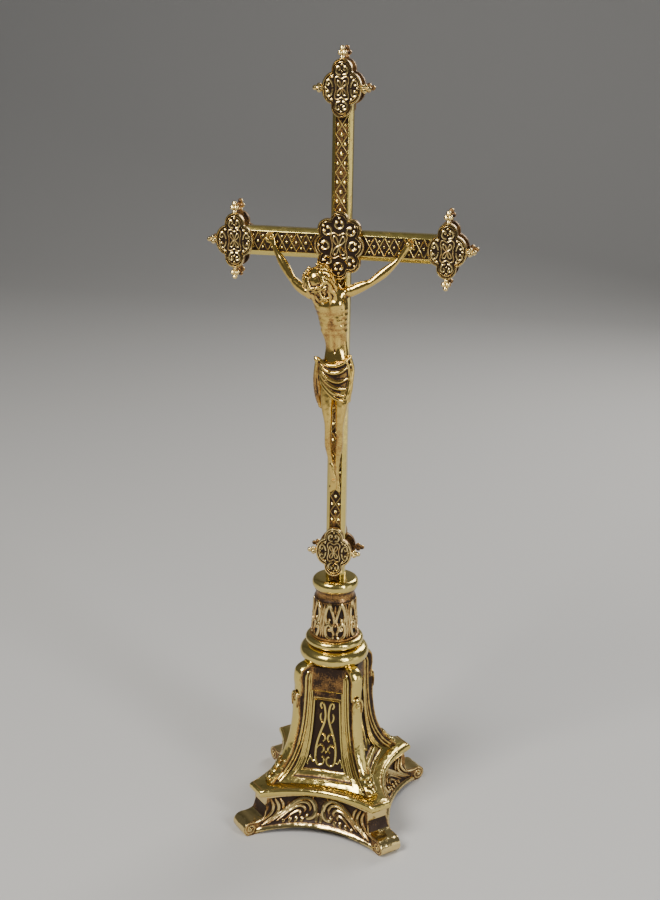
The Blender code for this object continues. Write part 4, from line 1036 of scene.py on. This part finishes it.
for cx, cz, angle in curl_places:
    sweep_angles = np.radians(np.linspace(angle + 62, angle + 298, 22))
    arc = np.column_stack([cx + 1.95 * np.cos(sweep_angles), cz + 1.95 * np.sin(sweep_angles)])
    centre_lines.append((arc, np.full(22, 0.6), False))
    for turn, far, size in ((50, 1.6, 1.0), (-50, 1.6, 1.0), (0, 3.0, 0.75)):
        a = math.radians(angle + turn)
        centre_lines.append(bead(cx + far * math.cos(a), cz + far * math.sin(a), size))
centre_relief = drawn("centre relief", centre_lines, sink=-relief_floor)
wear_by_height(centre_relief, 1.5, 2.2)
centre_medallion = joined("centre_medallion", [centre_plate, centre_relief])
centre_medallion.data.transform(Matrix.Translation((0, -plate_seat * MM, arm_height * MM)))
finished(centre_medallion, "cross", medallion_brass, replaces=("medallion_centre",))


# The medallion screws: brass pan-head screws driven from the back through each pair of plates, and
# one with a washer behind the crossing. They keep their modelled solids.
screw_brass = brass("dull screw brass", (0.70, 0.56, 0.30), (0.06, 0.035, 0.02), polish=0.3, dull=0.5, worn=False)
screw_ends = ("top", "left", "right", "bottom", "centre")
refinished(screw_brass, "centre_washer", *[f"medallion_screw_{label}" for label in screw_ends])


# The corpus: a figure cast in brass in one piece, hollow-backed, filed and polished. It hangs by
# three nails, head bowed to its right, with a knotted cloth at the hips. Folds and hair stay dark.
def limb(path, steps=5, fine=18):
    """A round-ended limb through rows of x, y, z, half-width and half-depth, in millimetres."""
    run = eased(path, steps=steps)
    centre, sizes = run[:, :3], np.maximum(run[:, 3:], 0.12)
    ahead = np.gradient(centre, axis=0)
    ahead /= np.linalg.norm(ahead, axis=1)[:, None]
    side = np.cross(ahead, np.where(np.abs(ahead[:, 1:2]) > 0.94, (1.0, 0, 0), (0, 1.0, 0)))
    side /= np.linalg.norm(side, axis=1)[:, None]
    deep = np.cross(side, ahead)
    around = np.linspace(0, 2 * np.pi, fine, endpoint=False)
    rows = []
    dome = (0.97, 0.75, 0.4)
    stations = [(0, -t) for t in dome] + [(i, 0) for i in range(len(run))] + [(-1, t) for t in dome[::-1]]
    for i, t in stations:
        scale = math.sqrt(1 - t * t)
        middle = centre[i] + ahead[i] * t * sizes[i].min()
        width = np.outer(np.cos(around), side[i]) * sizes[i][0]
        depth = np.outer(np.sin(around), deep[i]) * sizes[i][1]
        rows.append(middle + scale * (width + depth))
    return skin("limb", rows)


def strand(points, sizes, **fineness):
    """A round limb through points, with one radius for all of them or one for each."""
    sizes = [sizes] * len(points) if isinstance(sizes, float) else sizes
    return limb([(*point, size, size) for point, size in zip(points, sizes)], **fineness)


def lump(place, radii):
    """A rounded mass: its middle and its three half-sizes."""
    tilt = np.linspace(0.12, np.pi - 0.12, 12)
    around = np.linspace(0, 2 * np.pi, 20, endpoint=False)
    circle = np.column_stack([np.cos(around), np.sin(around), np.ones(20)])
    return skin("lump", [circle * (np.sin(t), np.sin(t), np.cos(t)) * radii + place for t in tilt])


def cast_whole(name, pieces, voxel, passes=3):
    """Melts overlapping pieces into one closed skin."""
    whole = joined(name, pieces)
    melt = whole.modifiers.new("melt", "REMESH")
    melt.mode = "VOXEL"
    melt.voxel_size = voxel * MM
    bpy.ops.object.modifier_apply(modifier="melt")
    ease = whole.modifiers.new("ease", "SMOOTH")
    ease.factor, ease.iterations = 0.5, passes
    bpy.ops.object.modifier_apply(modifier="ease")
    return whole


def neighbours_mean(piece, points, times):
    """Each point moved to the mean of its neighbours, so many times over."""
    pairs = np.empty(len(piece.data.edges) * 2, np.int32)
    piece.data.edges.foreach_get("vertices", pairs)
    a, b = pairs.reshape(-1, 2).T
    count = np.bincount(a, minlength=len(points)) + np.bincount(b, minlength=len(points))
    for _ in range(times):
        sums = [np.bincount(a, column[b], len(points)) + np.bincount(b, column[a], len(points)) for column in points.T]
        points = np.column_stack(sums) / np.maximum(count, 1)[:, None]
    return points


def wear_and_shade_of(piece):
    values = np.empty(len(piece.data.vertices), np.float32)
    piece.data.attributes["wear_and_shade"].data.foreach_get("value", values)
    return values


def wear_and_underside_shade(piece, base, strength):
    """Rubs the swells, leaves the hollows dark with patina and paints shade on the undersides."""
    points, normals = points_of(piece) / MM, points_of(piece, "normal")
    hollow = 0
    for times, gain in ((6, 2.2), (40, 1.2)):
        hollow = hollow + np.einsum("ij,ij->i", neighbours_mean(piece, points, times) - points, normals) * gain
    # painted shade: surfaces that face downwards are made darker
    set_wear_and_shade(piece, base - strength * hollow - 0.5 * np.clip(-normals[:, 2] + 0.05, 0, 1))


def modelled(piece, touches):
    """Pushes the skin in or out round each point: x, y, z, then three reaches, then how far."""
    points, normals = points_of(piece) / MM, points_of(piece, "normal")
    move = np.zeros(len(points))
    for x, y, z, rx, ry, rz, far in touches:
        near = ((points - (x, y, z)) / (rx, ry, rz)) ** 2
        move += far * np.exp(-near.sum(axis=1))
    put_points(piece, (points + normals * move[:, None]) * MM)


torso = limb([
    (-3.6, -9.2, 289.2, 5.6, 2.8), (-3.2, -9.8, 286.2, 9.2, 4.3), (-2.2, -10.4, 282.0, 8.6, 5.4),
    (-1.4, -10.5, 277.5, 7.6, 5.8), (-1.0, -10.2, 273.0, 6.9, 5.4), (-0.3, -9.5, 266.5, 6.1, 4.6),
    (0.4, -8.9, 260.0, 5.7, 4.0), (0.6, -9.1, 254.5, 6.1, 4.3), (0.5, -9.4, 248.0, 6.9, 4.9),
    (0.4, -9.6, 243.0, 6.6, 4.6)
], fine=32)
neck = limb([(-2.6, -9.0, 286.0, 3.4, 3.0), (-4.2, -10.6, 289.6, 2.7, 2.7), (-6.2, -12.4, 292.2, 3.0, 3.0)])
body = [torso, neck]
arms = (
    [
        (-33.3, -5.1, 310.0), (-30.9, -5.9, 305.0), (-26.7, -7.2, 298.6), (-22.6, -8.6, 292.8), (-21.7, -8.7, 291.8),
        (-18.0, -9.2, 288.4), (-12.6, -9.4, 285.4)
    ],
    [
        (33.3, -5.1, 310.2), (28.6, -5.9, 303.0), (22.6, -7.2, 297.2), (16.9, -8.7, 292.5), (15.9, -8.9, 291.9),
        (11.6, -9.3, 290.0), (5.6, -9.4, 287.0)
    ],
)
widths = [(1.1, 1.0), (1.3, 1.15), (2.3, 1.95), (1.85, 1.9), (1.9, 1.9), (2.6, 2.4), (2.8, 3.0)]
for side, joints in zip((-1, 1), arms):
    body.append(limb([(*place, *width) for place, width in zip(joints, widths)], steps=6))
    elbow, shoulder = np.array(joints[4]), np.array(joints[6])
    body.append(lump(elbow * 0.45 + shoulder * 0.55 + (0, -0.7, 0.35), (1.9, 1.7, 1.7)))
    body.append(lump(shoulder + (side * 1.0, -0.3, 0.9), (3.0, 2.7, 2.6)))
    wrist, palm = np.array(joints[1]), np.array(joints[0])
    reach = (palm - wrist) / np.linalg.norm(palm - wrist)
    spread = np.array([-reach[2], 0, reach[0]]) * -side
    heel, ball, edge = wrist * 0.7 + palm * 0.3, palm - reach * 0.6, palm + reach * 1.2
    body.append(limb([(*heel, 1.0, 0.9), (*ball, 1.75, 0.85), (*edge, 1.8, 0.75)]))
    for across, length in ((-1.35, 3.1), (-0.45, 3.7), (0.45, 3.5), (1.3, 2.8)):
        root = palm + reach * 1.1 + spread * across
        knuckle = root + reach * length * 0.5 + (0, -0.35, 0)
        tip = root + reach * length * 0.75 + (0, -1.3, 0)
        body.append(strand([root, knuckle, tip], [0.5, 0.48, 0.38], fine=10))
    thumb = palm - reach * 1.0 + spread * 1.6
    knuckle = thumb + spread * 0.9 + reach * 1.6 + (0, -0.5, 0)
    tip = thumb + spread * 0.7 + reach * 2.9 + (0, -0.9, 0)
    body.append(strand([thumb, knuckle, tip], [0.6, 0.5, 0.42], fine=10))
for side, joints in (
    (-1, [
        (-3.0, -9.6, 247, 3.6, 4.2), (-3.1, -11.0, 238, 3.7, 3.9), (-2.9, -12.2, 229.5, 2.9, 3.1),
        (-2.2, -12.6, 222.8, 2.1, 2.4), (-2.5, -11.2, 217, 1.8, 2.0), (-2.7, -9.4, 210, 1.9, 2.3),
        (-2.1, -7.6, 203, 1.4, 1.6), (-1.6, -6.9, 198.6, 1.35, 1.5)
    ]),
    (1, [
        (3.9, -9.4, 247, 3.6, 4.2), (4.1, -10.6, 238, 3.7, 3.9), (3.9, -11.7, 229.5, 2.9, 3.1),
        (3.4, -12.1, 222.0, 2.1, 2.4), (3.2, -10.7, 216, 1.8, 2.0), (2.7, -9.0, 209, 1.85, 2.2),
        (1.7, -7.4, 202.5, 1.35, 1.55), (1.2, -6.6, 198.6, 1.3, 1.4)
    ]),
):
    body.append(limb(joints, steps=6, fine=24))
    body.append(lump(np.array(joints[3][:3]) + (0, -1.3, 0.2), (1.5, 1.3, 1.8)))
for sole in (
    [
        (1.0, -6.2, 199.2, 1.4, 1.4), (0.7, -5.9, 195.0, 1.5, 1.3), (0.5, -5.6, 190.5, 1.75, 1.1),
        (0.9, -5.5, 186.6, 1.9, 0.9)
    ],
    [
        (-1.6, -7.4, 199.2, 1.4, 1.5), (-1.0, -7.6, 195.0, 1.5, 1.3), (-0.4, -7.3, 190.5, 1.75, 1.05),
        (-0.6, -7.1, 186.8, 1.9, 0.9)
    ],
):
    body.append(limb(sole))
for place, out, tip in ((0.9, -5.6, 184.2), (-0.6, -7.3, 184.4)):
    for k, size in enumerate((0.72, 0.5, 0.48, 0.45, 0.4)):
        x = place + (1.45 - k * 0.72) * (1 if place > 0 else -1)
        toe = [(x * 0.95, out, tip + 2.6), (x, out - 0.15, tip + 0.35 * k + 0.6), (x, out + 0.1, tip + 0.35 * k)]
        body.append(strand(toe, size, fine=10))
figure = cast_whole("figure", body, 0.34, passes=4)
# breast and breastbone, costal arch, belly, flanks, navel, ribs, loins, armpits
touches = [
    (-6.0, -16, 281.2, 3.4, 4, 2.6, 1.15), (2.6, -16, 282.2, 3.4, 4, 2.6, 1.15),
    (-1.6, -16.5, 281.5, 1.0, 3, 3.4, -0.28), (-1.2, -16, 277.0, 6.5, 3, 1.9, -0.26),
    (-0.9, -15.5, 270.5, 3.4, 4, 4.6, -0.95), (-0.2, -14.5, 264.5, 3.6, 4, 5.0, -0.6),
    (-3.6, -13.5, 262.5, 1.3, 3, 5.5, -0.25), (4.0, -13.0, 263.5, 1.3, 3, 5.5, -0.25),
    (-1.4, -13.6, 262.0, 1.0, 2, 4, 0.3), (1.9, -13.4, 262.2, 1.0, 2, 4, 0.3),
    (0.4, -13.2, 258.6, 0.6, 1.5, 0.8, -0.55), (-3.4, -15.2, 273.2, 1.5, 4, 1.5, 0.4),
    (-4.7, -14.2, 270.4, 1.5, 4, 1.6, 0.45), (-5.6, -13.0, 267.2, 1.4, 4, 1.8, 0.4),
    (1.8, -15.2, 273.4, 1.5, 4, 1.5, 0.4), (3.4, -14.2, 270.6, 1.5, 4, 1.6, 0.45),
    (4.6, -13.0, 267.4, 1.4, 4, 1.8, 0.4), (-5.2, -11.5, 261.5, 1.8, 4, 4.0, -0.55),
    (5.4, -11.5, 262.0, 1.8, 4, 4.0, -0.55), (-9.4, -10, 283.4, 1.6, 3, 2.6, -0.6),
    (5.4, -10, 284.4, 1.6, 3, 2.6, -0.6),
]
for k in range(5):
    z = 279.2 - k * 2.7
    for side, centre, reach in ((-1, -1.6, 5.6 - 0.35 * k), (1, -0.9, 5.4 - 0.3 * k)):
        touches.append((centre + side * reach, -13.6 + 0.3 * k, z, 2.6, 4.0, 0.9, 0.3))
        touches.append((centre + side * reach * 0.6, -15.2 + 0.4 * k, z - 1.1, 2.2, 3.0, 0.9, 0.22))
modelled(figure, touches)


hip_x, hip_y = 0.4, -9.3


def on_hips(x, z, lift=0.3):
    """A point just off the front of the wrapped cloth."""
    share = np.clip((x - hip_x) / 8.4, -0.985, 0.985)
    depth = (5.4 + 0.03 * (250 - z) + lift) * math.sqrt(1 - share**2)
    return (hip_x + (x - hip_x) * (1 + lift * 0.02), hip_y - depth, z)


wrap_rows = []
around = np.linspace(0, 2 * np.pi, 56, endpoint=False)
for share in np.linspace(0, 1, 12):
    x, y = np.cos(around), -np.sin(around)
    top = 254.6 + 1.7 * x - 1.6 * np.clip(-y, 0, 1) ** 2
    hem = 238.6 - 5.2 * x - 1.6 * np.sin(2.2 * x + 0.4)
    z = top + (hem - top) * share
    swell = 1 + 0.10 * np.sin(np.pi * share)
    wrap_rows.append(np.column_stack([hip_x + 7.7 * swell * x, hip_y + (5.35 + 0.5 * share) * y, z]))
cloth = [skin("wrap", wrap_rows)]
folds = (
    (((-7.6, 253.8), (-3.5, 252.2), (0.6, 251.8), (4.6, 253.0), (8.2, 256.2)), 0.95),
    (((-7.8, 252.8), (-4.2, 249.6), (0.0, 248.2), (4.2, 249.2), (8.4, 252.6)), 1.0),
    (((-7.6, 252.0), (-4.8, 247.6), (-1.0, 244.8), (3.4, 244.0), (8.3, 246.4)), 0.95),
    (((-7.6, 251.0), (-5.0, 245.8), (-1.8, 242.6), (2.4, 240.6), (7.9, 240.4)), 0.9),
    (((-7.4, 250.0), (-5.4, 244.4), (-2.6, 241.0), (1.6, 237.9), (7.4, 236.6)), 0.85),
    (((-6.9, 248.4), (-5.4, 242.6), (-2.6, 239.0), (2.0, 235.4), (6.8, 234.0)), 1.0),
    (((8.2, 254.8), (8.9, 250.0), (8.6, 244.5), (7.8, 238.5), (6.4, 232.2)), 1.05),
    (((6.8, 253.5), (7.8, 248.5), (7.6, 243.0), (6.8, 237.5), (5.6, 232.4)), 0.9),
    (((8.8, 252.0), (8.4, 246.0), (8.5, 240.0), (7.3, 233.4)), 0.95),
    (((-6.6, 245.8), (-5.8, 242.4), (-4.6, 240.4)), 0.8),
)
for points, thick in folds:
    fold = []
    for k, (x, z) in enumerate(points):
        width = thick * (0.7 + 0.3 * math.sin(math.pi * k / (len(points) - 1)))
        fold.append((*on_hips(x, z), width, thick))
    cloth.append(limb(fold, steps=6, fine=12))
cloth.append(lump((-8.5, -11.0, 253.4), (1.7, 1.6, 1.5)))
for points, thick in (
    (((-8.6, -11.6, 253.8), (-9.6, -11.0, 254.4), (-9.3, -9.6, 252.8)), 0.85),
    ((
        (-8.4, -11.6, 252.6), (-8.9, -11.4, 246.5), (-8.9, -10.8, 240.0), (-8.0, -10.2, 233.6), (-7.0, -9.8, 229.6)
    ), 1.05),
    ((
        (-9.0, -10.4, 252.0), (-9.8, -10.0, 246.0), (-9.9, -9.6, 240.5), (-9.2, -9.2, 235.0), (-8.2, -9.0, 231.4)
    ), 0.95),
    (((-7.6, -11.8, 251.6), (-7.8, -12.0, 246.0), (-7.4, -11.6, 240.5), (-7.0, -11.0, 236.0)), 0.85),
    (((-8.2, -10.2, 238.0), (-7.4, -9.4, 233.0), (-6.5, -9.0, 229.0)), 1.1),
):
    cloth.append(limb([(*p, thick, thick * 0.9) for p in points], steps=6, fine=12))
wrapping = cast_whole("wrapping", cloth, 0.32, passes=3)

head = [
    lump((0, 0.9, 2.2), (5.2, 6.0, 5.5)), lump((0, -1.5, -1.4), (4.1, 4.2, 5.6)),
    lump((0, -2.7, -5.0), (2.7, 2.5, 2.4)),
    strand([(-3.4, -4.3, 0.9), (-1.6, -5.5, 1.25), (0, -5.6, 1.0), (1.6, -5.5, 1.25), (3.4, -4.3, 0.9)], 0.6),
    limb([(0, -5.5, 0.9, 0.5, 0.5), (0, -6.3, -0.8, 0.55, 0.6), (0, -7.0, -2.3, 0.8, 0.75)]),
    lump((0, -5.7, -4.4), (1.5, 0.9, 0.55)), lump((0, -5.6, -5.2), (1.2, 0.85, 0.55)),
]
for side in (-1, 1):
    head += [
        lump((side * 0.85, -6.2, -2.4), (0.55, 0.7, 0.5)), lump((side * 1.9, -4.55, -0.25), (1.15, 0.85, 0.8)),
        lump((side * 2.7, -3.9, -1.9), (1.5, 1.2, 1.3)),
    ]
    for points, sizes in (
        (((0.3, -6.3, -3.5), (1.7, -5.6, -4.2), (2.5, -4.7, -5.6)), [0.5, 0.55, 0.5]),
        (((3.9, -1.6, -2.6), (3.5, -2.9, -5.2), (2.2, -4.3, -7.4), (0.9, -5.0, -9.6)), [0.9, 1.0, 1.1, 0.7]),
        (((2.0, -5.0, -5.6), (1.5, -5.6, -7.6), (0.5, -5.3, -9.8)), [0.6, 0.65, 0.45]),
    ):
        head.append(strand([(side * x, y, z) for x, y, z in points], sizes))
    for k in range(8):
        back = k / 7
        run = []
        for share in np.linspace(0, 1, 9):
            lean = math.radians(38 + 64 * min(share * 1.6, 1.0))
            turn = math.radians(-52 + 118 * back)
            radius = 1.0 + 0.012 * k
            x = side * (5.55 * math.sin(lean) * math.cos(turn) * radius + 0.25)
            y = 0.9 + 6.2 * math.sin(lean) * math.sin(turn) * radius
            z = 2.2 + 5.75 * math.cos(lean)
            if share > 0.62:
                fall = (share - 0.62) / 0.38
                z -= 9.0 * fall * (1 - 0.25 * abs(back - 0.3))
                x -= side * 1.0 * fall * (1 - back)
                y -= 0.6 * fall
            wave = math.sin(share * 13 + k * 1.9)
            thick = 0.95 * (0.75 + 0.25 * math.sin(math.pi * share)) if share < 1 else 0.4
            run.append((x + side * 0.25 * wave, y + 0.4 * wave, z, thick, thick))
        head.append(limb(run, steps=4, fine=10))
    for inner, thick in ((0.0, 0.85), (0.9, 0.75)):
        lock = ((4.4, 1, -3.9, 3.0), (5.0, 1, -4.0, 0.6), (4.3, 0.6, -4.4, -2.2), (4.7, 0.6, -4.2, -5.0),
                (3.9, 0.5, -4.9, -7.8), (4.2, 0.5, -4.6, -10.2))
        lock = [(side * (x - share * inner), y, z) for x, share, y, z in lock]
        head.append(strand(lock, [thick] * 5 + [0.35], fine=10))
head.append(limb([(0, 4.6, 2.0, 4.2, 2.0), (0, 5.0, -3.0, 4.6, 1.9), (0, 4.2, -8.0, 4.2, 1.7)], fine=24))
for start in (0, math.pi):
    run = []
    for a in np.linspace(0, 2 * math.pi, 37):
        twist = a * 7 + start
        out = 1 + 0.075 * math.cos(twist)
        height = 2.9 + 0.35 * math.sin(a) + 0.45 * math.sin(twist)
        run.append((5.75 * math.cos(a) * out, 0.8 + 6.45 * math.sin(a) * out, height))
    head.append(strand(run, 0.5, steps=3, fine=10))
for k in range(11):
    a = 2 * math.pi * (k + 0.4) / 11
    base = np.array((5.9 * math.cos(a), 0.8 + 6.6 * math.sin(a), 2.9))
    tip = base + (0.6 * math.cos(a + 0.7), 0.6 * math.sin(a + 0.7), 0.8 * (-1) ** k)
    head.append(strand([base, tip], [0.32, 0.1], fine=8))
bowed_head = cast_whole("bowed head", head, 0.2, passes=2)
lids = [(1.9 * side, -5.3, -0.55, 1.2, 1.0, 0.16, -0.22) for side in (-1, 1)]
lids += [(2.0 * side, -5.4, 0.45, 1.3, 1.0, 0.22, -0.3) for side in (-1, 1)]
modelled(bowed_head, lids + [(0, -6.4, -4.8, 1.3, 1.0, 0.16, -0.3)])
bow = Matrix.Rotation(math.radians(-24), 4, "Y") @ Matrix.Rotation(math.radians(30), 4, "X") @ Matrix.Scale(1.1, 4)
bowed_head.data.transform(Matrix.Translation((-6.9 * MM, -14.4 * MM, 291.2 * MM)) @ bow)
back_plane = -3.85
for piece in (figure, wrapping, bowed_head):
    points = points_of(piece)
    points[:, 1] = np.minimum(points[:, 1], back_plane * MM)
    put_points(piece, points)
    wear_and_underside_shade(piece, base=0.86, strength=0.7 if piece is figure else 2.0)
# painted shade: darker patches on the belly, below the bowed head, on the flanks and lower legs, and on the cloth's
# lower front and hanging end
for piece, places in (
    (wrapping, ((-8.6, -10.0, 238.0, 2.8, 6, 10.0, 0.7), (-1.0, -15.0, 243.0, 5.0, 6, 5.0, 0.12))),
    (figure, (
        (-1.6, -15.5, 272.0, 5.5, 8, 9.0, 0.14), (0.3, -13, 262, 4.5, 6, 7, 0.1), (0.2, -12.0, 209, 7, 9, 13, 0.42),
        (-3.0, -15, 286, 6.0, 5, 3.0, 0.25), (-9.0, -11, 276, 2.5, 5, 9, 0.35), (5.5, -11, 268, 1.6, 5, 12, 0.2)
    )),
):
    points, wear_and_shade = points_of(piece) / MM, wear_and_shade_of(piece)
    for x, y, z, rx, ry, rz, shade_depth in places:
        wear_and_shade = wear_and_shade - shade_depth * np.exp(-(((points - (x, y, z)) / (rx, ry, rz)) ** 2).sum(axis=1))
    set_wear_and_shade(piece, wear_and_shade)
corpus = joined("cast_corpus", [figure, wrapping, bowed_head])
corpus_brass = brass(
    "polished corpus brass", (0.82, 0.57, 0.165), (0.03, 0.014, 0.006), polish=0.13, dull=0.42,
    amber=(0.40, 0.21, 0.06), waviness=0.00025
)
finished(corpus, "cross", corpus_brass, replaces=("corpus",), angle=60)


# The nails: three brass nails with small domed heads on straight shanks, driven through the hands
# and the feet into the bars.
for node, x, y, z in (
    ("hand_nail_left", -33.3, -6.35, 311.0), ("hand_nail_right", 33.3, -6.35, 311.0), ("feet_nail", 0.0, -8.75, 190.5)
):
    shank = strand([(x, y, z), (x, -2.0, z), (x, 0.4, z)], [0.55, 0.55, 0.3])
    nail = joined(f"driven_{node}", [shank, lump((x, y, z), (0.95, 0.62, 0.95))])
    set_wear_and_shade(nail, np.full(len(nail.data.vertices), 0.8))
    finished(nail, "cross", corpus_brass, replaces=(node,))
